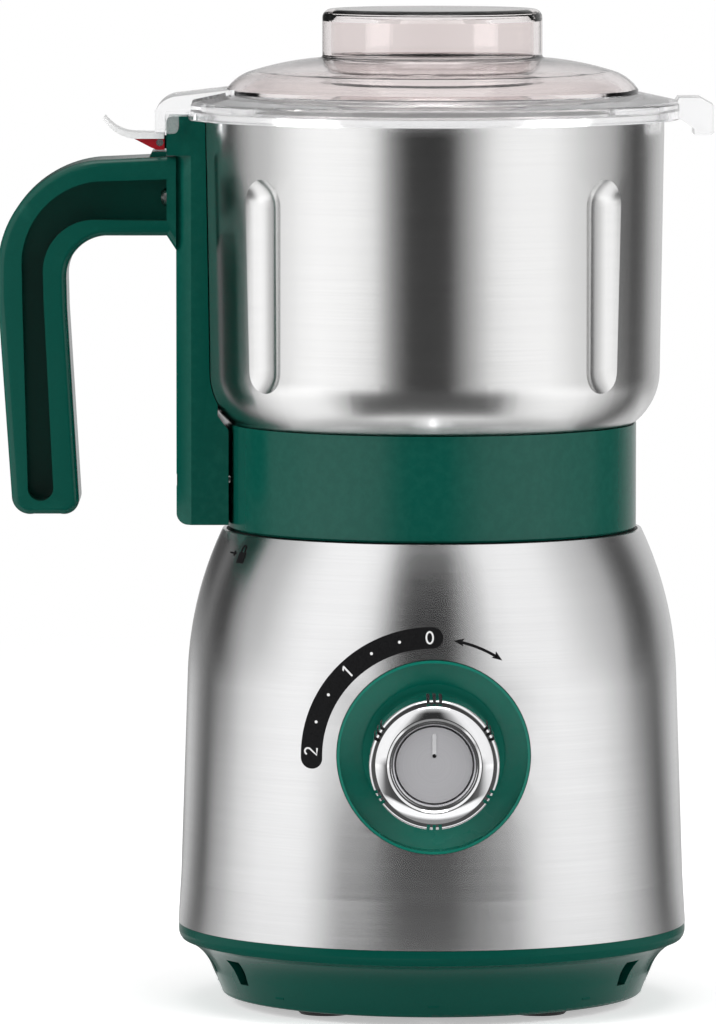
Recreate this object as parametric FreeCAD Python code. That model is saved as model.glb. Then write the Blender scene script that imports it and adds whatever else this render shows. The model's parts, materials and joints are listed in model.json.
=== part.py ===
import FreeCAD, Part
import math
import os

from FreeCAD import Vector

# Electric grain mill: a drum-shaped motor base, a lift-off steel grinding cup with a J-shaped
# handle, and a clear lid with a smoked dome. Millimetres, +Z up, origin on the main axis in the
# plane of the feet. The control dial faces -Y and the handle points to -X.

# Clearances
FIT = 0.15
GAP = 0.3
RUN = 0.05

# Main heights, stacked from the table up
FOOT_H = 2.5
SKIRT_H = 20.0
HOUSING_H = 111.0
SEAT_GAP = 0.3
COLLAR_H = 29.4
CUP_SINK = 3.7
CUP_H = 91.0
LID_H = 28.7
LIP_Z = FOOT_H + SKIRT_H
NECK_Z = LIP_Z + HOUSING_H
CUP_FLOOR_Z = NECK_Z + SEAT_GAP + COLLAR_H - CUP_SINK
CUP_RIM_Z = CUP_FLOOR_Z + CUP_H
LID_TOP_Z = CUP_RIM_Z + LID_H

# Main radii
NECK_R = 58.8
LIP_R = 71.3
CUP_TOP_R = 65.0
SHAFT_R = 4.0
BEARING_R = 11.0
KNOB_R = 17.8

# Base skirt
SKIRT_FOOT_R = 59.2
SKIRT_WAIST_R = 61.8
SKIRT_WAIST_Z = FOOT_H + 7.0
SKIRT_WALL = 2.5
BOSS_RING_R = SKIRT_FOOT_R - 9.2
BOSS_R = 4.2
BOSS_TOP_Z = FOOT_H + 12.5
VENT_SLIT_ANGLE = 78.0
VENT_WEDGE_ANGLE = 59.0

# Bottom plate, feet and screws
PLATE_T = 2.5
PLATE_LIFT = 0.5
AIR_SLOTS = 6
AIR_SLOT_IN = 14.0
AIR_SLOT_HALF = 1.6
FOOT_R = 8.0
FOOT_STEM_R = 2.4
SCREW_HEAD_R = 3.0
SCREW_SHANK_R = 1.5
ROD_R = 2.0
ROD_RING_R = NECK_R - 8.8
FOOT_RING_R = ROD_RING_R - 8.0
AIR_SLOT_OUT = FOOT_RING_R - 10.0
ROD_HEAD_R = 3.4
ROD_HEAD_H = 2.0

# Steel housing shell
SHELL_T = 1.0
SHELL_FOOT_R = LIP_R + 0.1
SHELL_MID_R = SHELL_FOOT_R - 0.8
SHELL_MID_Z = LIP_Z + 13.5
SHOULDER_R = SHELL_FOOT_R - 2.7
SHOULDER_Z = NECK_Z - 40.5
SPIGOT_H = 5.0

# Top deck and twist lock
DECK_FLOOR_Z = NECK_Z - 4.5
DECK_T = 3.0
DECK_RIM_W = 4.4
DECK_DAM = 3.0
ROD_PAD_R = 4.0
ROD_PAD_H = 6.0
LOCK_RING_R = NECK_R - 8.8
LOCK_RING_W = 3.5
LOCK_RING_TOP = NECK_Z + 7.5
LUG_T = 3.0
LUG_REACH = 3.0
LUG_ARC = 24.0
LUG_START = 213.0
LOCK_TURN = 28.0

# Motor
STATOR_R = 0.84 * ROD_RING_R
STATOR_FLAT = STATOR_R - 4.0
ARMATURE_R = STATOR_R - 20.0
AIR_GAP = 0.6
POLE_HALF = 37.5
COIL_HALF = 60.0
COIL_IN_R = ARMATURE_R + 3.0
COIL_OUT_R = STATOR_R - 7.0
COIL_END = 5.0
BEARING_W = 7.0
BRACKET_ARM_W = 9.0
BRACKET_T = 5.0
LEG_R = STATOR_R - 3.0
LEG_W = 4.4
DAMPER_H = 6.0
HANGER_H = 8.0
DAMPER_RING_R = LEG_R - 9.0
DAMPER_R = 5.0
COMMUTATOR_R = SHAFT_R + 8.0
COMMUTATOR_H = 11.0
BRUSH_HALF = 3.0
BRUSH_GAP = 0.2
BRUSH_HIGH = 1.8
HOLDER_T = 1.4
HOLDER_REACH = COMMUTATOR_R + 19.0
SHELF_HALF = 5.0
WINDING_SLOTS = 12
FAN_R = LEG_R - 6.0
FAN_H = 6.4
FAN_HUB_H = 4.4
FAN_EYE_R = SHAFT_R + 11.5
FAN_BLADES = 12
LOWER_BEARING_Z = LIP_Z + 2.5
COMMUTATOR_Z = LOWER_BEARING_Z + BEARING_W + 2.5
STACK_Z = COMMUTATOR_Z + COMMUTATOR_H + 6.5
BRACKET_TOP_Z = DECK_FLOOR_Z - DECK_T - HANGER_H - DAMPER_H
UPPER_BEARING_Z = BRACKET_TOP_Z - BEARING_W - 1.0
FAN_Z = UPPER_BEARING_Z - 1.0 - FAN_HUB_H - 0.6
STACK_H = FAN_Z - 1.0 - COIL_END - STACK_Z
DOG_Z = DECK_FLOOR_Z + 1.5
DOG_TOP_Z = LOCK_RING_TOP
DOG_R = SHAFT_R + 4.5
DECK_HOLE_R = DOG_R + 3.5
DOG_TEETH = 6
DOG_TOOTH = 2.0

# Control board and safety switch
BOARD_Y = STATOR_FLAT + 4.4
BOARD_HALF = 21.0
BOARD_T = 1.6
BOARD_LOW = FOOT_H + PLATE_LIFT + PLATE_T + GAP
BOARD_TOP = BOARD_LOW + 46.2
RAIL_TOP = BOARD_LOW + 22.2
PLUNGER_ANGLE = 180.0 + LOCK_TURN
SWITCH_HALF = (LOCK_RING_R - 1.0) / 5.0
SWITCH_H = 13.0
SWITCH_DEEP = 3.1
SWITCH_BUTTON = 1.2
CLIP_T = 2.8
CLIP_DEEP = 3.5
SWITCH_TOP = DECK_FLOOR_Z - DECK_T - 10.0
SWITCH_LOW = SWITCH_TOP - SWITCH_H
CLIP_FOOT_Z = SWITCH_LOW + 3.0

# Control dial
DIAL_Z = LIP_Z + 53.4
DISH_FLOOR_R = KNOB_R + 1.7
DISH_RIM_R = DISH_FLOOR_R + 6.4
BEZEL_R = DISH_RIM_R + 0.7
BEZEL_PROUD = 0.8
BEZEL_BACK = SHOULDER_R - 10.2
DISH_FLOOR = BEZEL_BACK + 3.0
DISH_BREAK = DISH_FLOOR + 3.3
KNOB_L = 29.0
KNOB_BACK = DISH_FLOOR + 1.0
KNOB_FRONT = KNOB_BACK + KNOB_L
KNOB_WELL_R = KNOB_R - 5.5
KNOB_FACE_R = KNOB_WELL_R - 1.9
KNOB_FACE_Y = KNOB_FRONT - 2.2
SPINDLE_R = 3.0
KNOB_BAND = 1.7
KNOB_BAND_DROP = 1.8
NOTCH_DEEP = 1.5
KNOB_GROUPS = 6
FACE_T = 3.2
POINTER_HALF = 0.55
POINTER_DEEP = 0.6
SWITCH_CAN_R = 13.0
SWITCH_CAN_H = 14.0
POINTER_LOW = 2.4
POINTER_TOP = KNOB_FACE_R - 1.8

# Grinding cup
CUP_LOW_R = CUP_TOP_R - 1.1
CUP_CORNER = 18.5
CUP_WALL = 1.2
RIM_BEAD = 0.9
RIM_BEAD_H = 1.8
RIB_ANGLES = (-133.0, -47.0, 47.0, 133.0)
RIB_WIDTH = 14.6
RIB_DEPTH = 3.0
RIB_LOW_Z = CUP_FLOOR_Z + 13.5
RIB_TOP_Z = CUP_RIM_Z - 17.5

# Cup collar, bush and blades
COLLAR_R = NECK_R - 1.5
COLLAR_WALL = 3.8
COLLAR_WEB = 4.0
BUSH_R = BEARING_R + 3.0
BUSH_FLANGE_R = BUSH_R + 4.0
BUSH_FLANGE_T = 3.2
BUSH_LOW_Z = CUP_FLOOR_Z - 11.0
NUT_AF = 2 * BUSH_R + 8.0
NUT_H = 5.0
GASKET_T = 1.0
BLADE_T = 1.8
LOWER_BLADE_REACH = 48.0
UPPER_BLADE_REACH = 42.0
BLADE_CHORD = 13.0
BLADE_HUB_R = SHAFT_R + 5.0
SPACER_R = SHAFT_R + 3.5
LOWER_HUB_Z = CUP_FLOOR_Z + 11.5
UPPER_HUB_Z = LOWER_HUB_Z + 7.0
BLADE_TOP_Z = UPPER_HUB_Z + 9.0
LOWER_BLADE_DROP = 3.6
UPPER_BLADE_RISE = 12.0

# Handle
COLUMN_HALF = 15.0
COLUMN_OUT_X = -CUP_TOP_R - 6.6
COLUMN_HEAD_X = COLUMN_OUT_X - 2.6
COLUMN_LOW_Z = NECK_Z + 1.9
COLUMN_TOP_Z = CUP_RIM_Z - 0.9
COLUMN_SEAT_X = -COLLAR_R + 0.3
COLUMN_BEVEL = 4.2
GRIP_HALF = 13.0
WEB_HALF = 2.0
RIM_ROUND = 1.8
GRIP_REACH = 49.9
GRIP_THICK = 19.3
ARM_H = 22.2
GRIP_END_Z = COLUMN_LOW_Z + 2.9
ARM_TOP_Z = CUP_RIM_Z - 12.1
ARM_LOW_Z = ARM_TOP_Z - ARM_H
GRIP_OUT_X = COLUMN_OUT_X - GRIP_REACH
GRIP_IN_X = GRIP_OUT_X + GRIP_THICK
END_WALL_X = COLUMN_HEAD_X
GRIP_SCREW_Z = ARM_TOP_Z - 11.6
GRIP_SCREW_Y = 7.4
COLUMN_SCREW_Z = NECK_Z + SEAT_GAP + 14.0
COLUMN_SCREW_Y = 8.0

# Lid-locked safety rod in the column
ROD_X = -CUP_TOP_R - 2.6
PIN_ROD_R = 1.6
ROD_TRAVEL = 3.0
ROD_FOOT_Z = NECK_Z + 5.1
ROD_FOOT_T = 2.6
ROD_FOOT_HALF = 2.2
ROD_FOOT_TIP = -LOCK_RING_R - 0.9
SPRING_POCKET_R = 3.3
SPRING_POCKET_Z = ROD_FOOT_Z + 5.6
SPRING_LEN = 11.8
SPRING_R = 2.6
SPRING_WIRE_R = 0.45
PLUNGER_R = 1.2
PLUNGER_RING_R = LOCK_RING_R + 1.9
PLUNGER_TRAVEL = 2.0

# Latch
LATCH_X = COLUMN_HEAD_X - 2.0
LATCH_Z = ARM_TOP_Z + 3.6
LATCH_PIN_R = 1.0
LATCH_HALF = 7.0
EAR_HALF = 2.5
PAD_HALF = 8.0
PAD_LIFT = 1.1

# Lid
LID_R = CUP_TOP_R + 4.7
LID_LOW_Z = CUP_RIM_Z - 2.0
LID_FACE_Z = CUP_RIM_Z + 3.0
LID_CONE_H = 2.2
LID_HOLE_R = CUP_TOP_R - 15.0
DOME_FOOT_R = LID_HOLE_R + 7.7
DOME_SEAT_R = DOME_FOOT_R + 0.2
DOME_FOOT_Z = LID_FACE_Z + 3.2
DOME_SHOULDER_R = DOME_FOOT_R - 7.3
DOME_SHOULDER_Z = LID_FACE_Z + 8.4
CAP_R = 30.8
CAP_FOOT_Z = LID_FACE_Z + 12.0
CAP_CORNER = 2.5
DOME_T = 2.4
SPIGOT_T = 2.4
SEAL_T = 1.4
SPIGOT_R = CUP_TOP_R - CUP_WALL - 3.2
SPIGOT_LOW_Z = CUP_RIM_Z - 6.0
ARM_HALF = COLUMN_HALF + 2.6
ARM_LEG_T = 2.8
ARM_OUT_X = COLUMN_HEAD_X - 0.4 - ARM_LEG_T
ARM_ROOF_Z = COLUMN_TOP_Z + 0.7
ARM_TOP_BACK = 6.9
ARM_TOP_FRONT = 4.9
CHEEK_X = COLUMN_HEAD_X + 3.5
CHEEK_LOW_Z = COLUMN_TOP_Z - 4.7
TAB_IN_X = LID_R - 0.8
TAB_OUT_X = TAB_IN_X + 9.7
TAB_HALF = 11.0
TAB_TOP_Z = LID_FACE_Z + 1.1
TAB_LOW_Z = LID_LOW_Z - 4.2

# Cord inlet
INLET_Z = SHELL_MID_Z
INLET_BORE_R = 3.7
INLET_BODY_R = 5.2
INLET_FLANGE_R = 8.0
INLET_SHELL_Y = SHELL_FOOT_R - 0.2
INLET_OUT_Y = INLET_SHELL_Y + 3.8
INLET_IN_Y = INLET_SHELL_Y - 9.2

AXIS = Vector(0, 0, 1)
ORIGIN = Vector(0, 0, 0)


def outline_face(start, steps):
    """Face in the XZ plane: each step is an end point, or (middle, end) for an arc."""
    edges = []
    here = Vector(start[0], 0, start[1])
    for step in steps + [start]:
        if isinstance(step[0], tuple):
            middle = Vector(step[0][0], 0, step[0][1])
            end = Vector(step[1][0], 0, step[1][1])
            edges.append(Part.Arc(here, middle, end).toShape())
        else:
            end = Vector(step[0], 0, step[1])
            if end.distanceToPoint(here) > 1e-6:
                edges.append(Part.makeLine(here, end))
        here = end
    return Part.Face(Part.Wire(edges))


def turned(start, steps):
    """Solid of revolution about the main axis from an outline of (radius, height) points."""
    return outline_face(start, steps).revolve(ORIGIN, AXIS, 360)


def plate_y(start, steps, low, high):
    """Outline in the XZ plane, extruded from y = low to y = high."""
    face = outline_face(start, steps)
    face.translate(Vector(0, low, 0))
    return face.extrude(Vector(0, high - low, 0))


def disc(radius, low, high, x=0.0, y=0.0):
    return Part.makeCylinder(radius, high - low, Vector(x, y, low))


def ring(inner, outer, low, high, x=0.0, y=0.0):
    return disc(outer, low, high, x, y).cut(disc(inner, low - 1, high + 1, x, y))


def block(x0, x1, y0, y1, z0, z1):
    return Part.makeBox(x1 - x0, y1 - y0, z1 - z0, Vector(x0, y0, z0))


def spun(shape, degrees):
    """Copy of a shape turned about the main axis."""
    copy = shape.copy()
    copy.rotate(ORIGIN, AXIS, degrees)
    return copy


def around(shape, count, first=0.0):
    """Copies of a shape spaced evenly about the main axis."""
    return [spun(shape, first + 360.0 * i / count) for i in range(count)]


def sector(inner, outer, start, arc, low, high):
    """Part of a ring from one angle over an arc, in degrees."""
    wedge = Part.makeCylinder(outer, high - low, Vector(0, 0, low), AXIS, arc)
    wedge = wedge.cut(disc(inner, low - 1, high + 1))
    return spun(wedge, start)


def joined(shapes):
    whole = shapes[0]
    for shape in shapes[1:]:
        whole = whole.fuse(shape)
    return whole.removeSplitter()


def less(shape, tools):
    for tool in tools:
        shape = shape.cut(tool)
    return shape


def to_front(shape, height):
    """Stand a piece turned about +Z on the dial's axis, its +Z towards the user at -Y."""
    copy = shape.copy()
    copy.rotate(ORIGIN, Vector(1, 0, 0), 90)
    copy.translate(Vector(0, 0, height))
    return copy


def screw(head_r, head_t, shank_r, length):
    """Pan-head screw, head top at z = head_t, shank down to -length, with a cross recess."""
    head = turned((0, -length), [
        (shank_r - 0.5, -length), (shank_r, -length + 1.0), (shank_r, 0), (head_r, 0),
        (head_r, head_t * 0.5), (head_r * 0.7, head_t), (0, head_t)])
    slot = head_r * 0.16
    deep = head_t * 0.5
    reach = head_r * 0.6
    cross = block(-reach, reach, -slot, slot, deep, head_t + 1)
    cross = cross.fuse(block(-slot, slot, -reach, reach, deep, head_t + 1))
    return head.cut(cross)


def coil(radius, wire_r, low, length, turns, x=0.0, y=0.0):
    """Compression spring: one round wire on a steady helix."""
    rise = length - 2 * wire_r
    helix = Part.makeHelix(rise / turns, rise, radius)
    start = Vector(radius, 0, 0)
    section = Part.Wire([Part.makeCircle(wire_r, start, Vector(0, 1, rise / turns / 6.2832 / radius))])
    spring = Part.Wire(helix.Edges).makePipeShell([section], True, True)
    spring.translate(Vector(x, y, low + wire_r))
    return spring


def tangent_middle(before, start, end):
    """Middle of the arc from start to end that carries on smoothly from the line before it."""
    line = math.atan2(start[1] - before[1], start[0] - before[0])
    chord = math.atan2(end[1] - start[1], end[0] - start[0])
    turn = chord - line
    length = math.hypot(end[0] - start[0], end[1] - start[1])
    bulge = length / 2 * math.tan(turn / 2)
    return ((start[0] + end[0]) / 2 + bulge * math.sin(chord),
            (start[1] + end[1]) / 2 - bulge * math.cos(chord))


def shell_steps(inset):
    """Steps of the housing's outer line from foot to neck, moved in by an inset."""
    middle = (SHELL_MID_R - inset, SHELL_MID_Z)
    shoulder = (SHOULDER_R - inset, SHOULDER_Z)
    neck = (NECK_R - inset, NECK_Z)
    return [middle, shoulder, (tangent_middle(middle, shoulder, neck), neck)]


# Base skirt with its lip, shell spigot, screw bosses and air vents
def base_skirt():
    taper = (SHELL_FOOT_R - SHELL_MID_R) / (SHELL_MID_Z - LIP_Z)
    spigot_r = SHELL_FOOT_R - SHELL_T - FIT - taper * SPIGOT_H
    spigot_z = LIP_Z + SPIGOT_H
    body = turned((SKIRT_FOOT_R - SKIRT_WALL, FOOT_H), [
        (SKIRT_FOOT_R - 1.0, FOOT_H),
        ((SKIRT_FOOT_R - 0.3, FOOT_H + 0.3), (SKIRT_FOOT_R, FOOT_H + 1.0)),
        (SKIRT_WAIST_R, SKIRT_WAIST_Z),
        ((SKIRT_WAIST_R + 2.6, SKIRT_WAIST_Z + 4.6), (LIP_R - 0.8, LIP_Z - 4.2)),
        ((LIP_R - 0.2, LIP_Z - 3.2), (LIP_R, LIP_Z - 2.0)),
        (LIP_R, LIP_Z), (spigot_r, LIP_Z), (spigot_r, spigot_z),
        (spigot_r - SKIRT_WALL, spigot_z), (spigot_r - SKIRT_WALL, LIP_Z - 1.5),
        (SKIRT_WAIST_R - SKIRT_WALL + 1.5, SKIRT_WAIST_Z + 4.0),
        (SKIRT_WAIST_R - SKIRT_WALL, SKIRT_WAIST_Z)])
    ribs = []
    for i in range(8):
        low = FOOT_H + PLATE_LIFT + PLATE_T
        for_rod = i % 2 == 1
        x = ROD_RING_R if for_rod else BOSS_RING_R
        boss = disc(BOSS_R, low, BOSS_TOP_Z, x)
        web = block(x, SKIRT_WAIST_R - 1.5, -1.5, 1.5, low, SKIRT_WAIST_Z + 3.0)
        hole = disc(SCREW_SHANK_R + 0.1, low - 1, BOSS_TOP_Z - 2, x)
        if for_rod:
            hole = joined([
                disc(ROD_R + 0.1, low - 1, BOSS_TOP_Z + 1, x),
                disc(ROD_HEAD_R + GAP, low - 1, low + ROD_HEAD_H + 0.5, x)])
        ribs.append(spun(joined([boss, web]).cut(hole), 45.0 * i))
    body = joined([body] + ribs)
    for side in (-1, 1):
        slit = block(SKIRT_FOOT_R - 6, SKIRT_WAIST_R + 12, -1.1, 1.1, SKIRT_WAIST_Z, SKIRT_WAIST_Z + 5.0)
        body = body.cut(spun(slit, -90 + side * VENT_SLIT_ANGLE))
        body = body.cut(spun(slit, 90 + side * (VENT_SLIT_ANGLE - 45)))
        inner = BOSS_RING_R
        low = SKIRT_WAIST_Z - 1.5
        wedge = Part.makePolygon([
            Vector(inner, -2.2, low), Vector(inner, 2.2, low), Vector(inner, 3.4, low + 7.0),
            Vector(inner, -3.4, low + 7.0), Vector(inner, -2.2, low)])
        wedge = Part.Face(wedge).extrude(Vector(25, 0, 0))
        body = body.cut(spun(wedge, -90 + side * VENT_WEDGE_ANGLE))
        body = body.cut(spun(wedge, 90 + side * VENT_WEDGE_ANGLE))
    return body


def base_plate():
    low = FOOT_H + PLATE_LIFT
    plate = disc(SKIRT_FOOT_R - SKIRT_WALL - FIT, low, low + PLATE_T)
    for i in range(4):
        plate = plate.cut(disc(SCREW_SHANK_R + 0.2, 0, 20, *polar(BOSS_RING_R, 90 * i)))
        plate = plate.cut(disc(SCREW_HEAD_R + 0.3, 0, low + 1.2, *polar(BOSS_RING_R, 90 * i)))
        plate = plate.cut(disc(FOOT_STEM_R + 0.2, 0, 20, *polar(FOOT_RING_R, 45 + 90 * i)))
    slot = block(AIR_SLOT_IN, AIR_SLOT_OUT, -AIR_SLOT_HALF, AIR_SLOT_HALF, 0, 20)
    plate = less(plate, around(slot, AIR_SLOTS, 30.0))
    rails = []
    for x in (-BOARD_HALF, BOARD_HALF):
        rail = block(x - 2.0, x + 2.0, BOARD_Y - 2.0, BOARD_Y + BOARD_T + 2.0,
                     low + PLATE_T - 0.5, RAIL_TOP)
        rails.append(rail)
    slot = block(-BOARD_HALF - FIT, BOARD_HALF + FIT, BOARD_Y - FIT, BOARD_Y + BOARD_T + FIT,
                 low + PLATE_T, RAIL_TOP + 1)
    return joined([plate] + rails).cut(slot)


def polar(radius, degrees):
    angle = math.radians(degrees)
    return radius * math.cos(angle), radius * math.sin(angle)


def rubber_feet():
    top = FOOT_H + PLATE_LIFT
    foot = turned((0, 0), [
        (FOOT_R - 0.8, 0), (FOOT_R, 0.8), (FOOT_R, top),
        (FOOT_STEM_R, top), (FOOT_STEM_R, top + PLATE_T), (FOOT_STEM_R + 0.8, top + PLATE_T),
        (FOOT_STEM_R, top + PLATE_T + 1.6),
        (0, top + PLATE_T + 1.6)])
    feet = []
    for i in range(4):
        copy = foot.copy()
        x, y = polar(FOOT_RING_R, 45 + 90 * i)
        copy.translate(Vector(x, y, 0))
        feet.append(copy)
    return Part.makeCompound(feet)


def base_screws():
    low = FOOT_H + PLATE_LIFT
    screws = []
    for i in range(4):
        item = screw(SCREW_HEAD_R, 1.1, SCREW_SHANK_R, 8.5)
        item.rotate(ORIGIN, Vector(1, 0, 0), 180)
        x, y = polar(BOSS_RING_R, 90 * i)
        item.translate(Vector(x, y, low + 1.2))
        screws.append(item)
    return Part.makeCompound(screws)


# Brushed steel housing
def housing_shell():
    low = LIP_Z + 0.1
    body = turned((0, low), [(SHELL_FOOT_R, low)] + shell_steps(0) + [(0, NECK_Z)])
    inside = turned((0, low), [(SHELL_FOOT_R - SHELL_T, low)] + shell_steps(SHELL_T) + [(0, NECK_Z)])
    dial_hole = to_front(disc(BEZEL_R + 0.2, BEZEL_BACK - 20, KNOB_FRONT), DIAL_Z)
    inlet_hole = to_front(disc(INLET_BODY_R + 0.1, -INLET_OUT_Y, -INLET_IN_Y), INLET_Z)
    return less(body, [inside, dial_hole, inlet_hole])


def tie_rods():
    low = FOOT_H + PLATE_LIFT + PLATE_T + 0.4
    seat = low + ROD_HEAD_H
    top = DECK_FLOOR_Z - DECK_T
    rod = turned((0, low), [(ROD_HEAD_R, low), (ROD_HEAD_R, seat), (ROD_R, seat), (ROD_R, top), (0, top)])
    rods = []
    for i in range(4):
        copy = rod.copy()
        x, y = polar(ROD_RING_R, 45 + 90 * i)
        copy.translate(Vector(x, y, 0))
        rods.append(copy)
    return Part.makeCompound(rods)


# Top deck: seat, twist-lock ring, shaft dam and hangers for the motor
def top_deck():
    rim_r = NECK_R - SHELL_T - FIT
    low = DECK_FLOOR_Z - DECK_T
    body = turned((DECK_HOLE_R, low), [
        (rim_r - 2.0, low), (rim_r, low + 2.0), (rim_r, NECK_Z), (rim_r - DECK_RIM_W, NECK_Z),
        (rim_r - DECK_RIM_W, DECK_FLOOR_Z), (LOCK_RING_R, DECK_FLOOR_Z),
        (LOCK_RING_R, LOCK_RING_TOP - 0.8), (LOCK_RING_R - 0.8, LOCK_RING_TOP),
        (LOCK_RING_R - LOCK_RING_W, LOCK_RING_TOP), (LOCK_RING_R - LOCK_RING_W, DECK_FLOOR_Z),
        (DECK_HOLE_R + DECK_DAM, DECK_FLOOR_Z), (DECK_HOLE_R + DECK_DAM, DECK_FLOOR_Z + 2.5),
        (DECK_HOLE_R, DECK_FLOOR_Z + 2.5)])
    lug_start = LUG_START + LUG_ARC + 2.0
    lugs = []
    for i in range(3):
        lug = sector(LOCK_RING_R - 1.0, LOCK_RING_R + LUG_REACH, lug_start + 120 * i,
                     LUG_ARC + 2.0, LOCK_RING_TOP - LUG_T, LOCK_RING_TOP)
        lugs.append(lug)
    hangers = []
    holes = []
    for i in range(4):
        x, y = polar(DAMPER_RING_R, 45 + 90 * i)
        hangers.append(disc(DAMPER_R, BRACKET_TOP_Z + DAMPER_H, low + 1.0, x, y))
        holes.append(disc(SCREW_SHANK_R + 0.2, BRACKET_TOP_Z, NECK_Z, x, y))
        x, y = polar(ROD_RING_R, 45 + 90 * i)
        hangers.append(disc(ROD_PAD_R, low - ROD_PAD_H, low + 1.0, x, y))
        holes.append(disc(ROD_R + 0.1, CLIP_FOOT_Z - 1, low, x, y))
    switch_end = block(-SWITCH_HALF - CLIP_T, -SWITCH_HALF - FIT, -CLIP_DEEP, CLIP_DEEP,
                       CLIP_FOOT_Z, low + 1.0)
    other_end = switch_end.mirror(ORIGIN, Vector(1, 0, 0))
    for clip in (switch_end, other_end):
        clip.rotate(ORIGIN, AXIS, PLUNGER_ANGLE - 90)
        x, y = polar(PLUNGER_RING_R, PLUNGER_ANGLE)
        clip.translate(Vector(x, y, 0))
        hangers.append(clip)
    x, y = polar(PLUNGER_RING_R, PLUNGER_ANGLE)
    holes.append(disc(PLUNGER_R + 0.3, low - 1, DECK_FLOOR_Z + 1, x, y))
    return less(joined([body] + lugs + hangers), holes)


def safety_switch():
    body = block(-SWITCH_HALF, SWITCH_HALF, -SWITCH_DEEP, SWITCH_DEEP, SWITCH_LOW, SWITCH_TOP)
    button = block(-1.4, 1.4, -1.6, 1.6, SWITCH_TOP, SWITCH_TOP + SWITCH_BUTTON)
    legs = [block(x - 0.4, x + 0.4, -1.6, 1.6, SWITCH_LOW - 5, SWITCH_LOW) for x in (-7, 0, 7)]
    body = joined([body, button] + legs)
    holes = [Part.makeCylinder(1.5, 20, Vector(x, -10, SWITCH_LOW + 3), Vector(0, 1, 0))
             for x in (-4.8, 4.8)]
    body = less(body, holes)
    body.rotate(ORIGIN, AXIS, PLUNGER_ANGLE - 90)
    x, y = polar(PLUNGER_RING_R, PLUNGER_ANGLE)
    body.translate(Vector(x, y, 0))
    return body


def switch_plunger():
    low = SWITCH_TOP + SWITCH_BUTTON + PLUNGER_TRAVEL + GAP
    top = ROD_FOOT_Z - ROD_TRAVEL - GAP
    under_deck = DECK_FLOOR_Z - DECK_T - GAP
    pin = turned((0, low), [
        (PLUNGER_R, low), (PLUNGER_R, under_deck - 1.4), (2.4, under_deck - 1.4),
        (2.4, under_deck), (PLUNGER_R, under_deck), (PLUNGER_R, top - 0.6),
        ((PLUNGER_R * 0.8, top - 0.15), (0.4, top)), (0, top)])
    x, y = polar(PLUNGER_RING_R, PLUNGER_ANGLE)
    pin.translate(Vector(x, y, 0))
    return pin


# Motor end brackets, bearings, stator and coils
def bearing_seat(low):
    return ring(BEARING_R + FIT, BEARING_R + 3.0, low, low + BEARING_W + 2.0)


def upper_bracket():
    low = UPPER_BEARING_Z - 1.0
    seat = joined([
        ring(BEARING_R + FIT, BEARING_R + 3.0, low, BRACKET_TOP_Z),
        ring(SHAFT_R + 2.5, BEARING_R + 1.0, UPPER_BEARING_Z + BEARING_W, BRACKET_TOP_Z)])
    arms = []
    for i in range(4):
        arm = block(BEARING_R + 1.5, LEG_R + LEG_W / 2, -BRACKET_ARM_W / 2, BRACKET_ARM_W / 2,
                    BRACKET_TOP_Z - BRACKET_T, BRACKET_TOP_Z)
        pad = disc(DAMPER_R, BRACKET_TOP_Z - BRACKET_T, BRACKET_TOP_Z, DAMPER_RING_R)
        leg = block(LEG_R - LEG_W / 2, LEG_R + LEG_W / 2, -BRACKET_ARM_W / 2, BRACKET_ARM_W / 2,
                    STACK_Z + STACK_H, BRACKET_TOP_Z)
        one = joined([arm, pad, leg])
        one = one.cut(disc(SCREW_SHANK_R, UPPER_BEARING_Z, DECK_FLOOR_Z, DAMPER_RING_R))
        one = one.cut(disc(SCREW_SHANK_R + 0.1, STACK_Z, STACK_Z + STACK_H + 8, LEG_R))
        arms.append(spun(one, 45 + 90 * i))
    return joined([seat] + arms)


def lower_bracket():
    low = LOWER_BEARING_Z - 2.0
    top = LOWER_BEARING_Z + BEARING_W
    seat = joined([
        ring(BEARING_R + FIT, BEARING_R + 3.0, low, top),
        ring(SHAFT_R + 2.5, BEARING_R + 1.0, low, LOWER_BEARING_Z)])
    arms = []
    for i in range(4):
        arm = block(BEARING_R + 1.5, LEG_R + LEG_W / 2, -BRACKET_ARM_W / 2, BRACKET_ARM_W / 2,
                    top - BRACKET_T, top)
        leg = block(LEG_R - LEG_W / 2, LEG_R + LEG_W / 2, -BRACKET_ARM_W / 2, BRACKET_ARM_W / 2,
                    top - BRACKET_T, STACK_Z)
        one = joined([arm, leg]).cut(disc(1.8, FOOT_H, STACK_Z + 1, LEG_R))
        arms.append(spun(one, 45 + 90 * i))
    reach = HOLDER_REACH - 1.0
    shelf = block(-reach, reach, -SHELF_HALF, SHELF_HALF, top - BRACKET_T, top)
    shelf = shelf.cut(disc(BEARING_R + 2.0, 0, STACK_Z))
    post = block(reach - 11.0, reach - 1.0, -SHELF_HALF, SHELF_HALF, top - 1, COMMUTATOR_Z)
    posts = around(post, 2)
    return joined([seat] + arms + [shelf] + posts)


def stator_core():
    high = STACK_Z + STACK_H
    body = disc(STATOR_R, STACK_Z, high)
    body = body.common(block(-STATOR_R, STATOR_R, -STATOR_FLAT, STATOR_FLAT, STACK_Z, high))
    bore_r = ARMATURE_R + AIR_GAP
    body = body.cut(disc(bore_r, STACK_Z - 1, high + 1))
    for side in (0, 180):
        window = sector(COIL_IN_R - 0.5, COIL_OUT_R + 0.5, side - 90 + POLE_HALF,
                        180 - 2 * POLE_HALF, STACK_Z - 1, high + 1)
        mouth = sector(bore_r - 2, COIL_IN_R + 1, side - 90 + COIL_HALF + 2,
                       180 - 2 * COIL_HALF - 4, STACK_Z - 1, high + 1)
        body = less(body, [window, mouth])
    for i in range(4):
        body = body.cut(disc(1.8, STACK_Z - 1, high + 1, *polar(LEG_R, 45 + 90 * i)))
    return body


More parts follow.
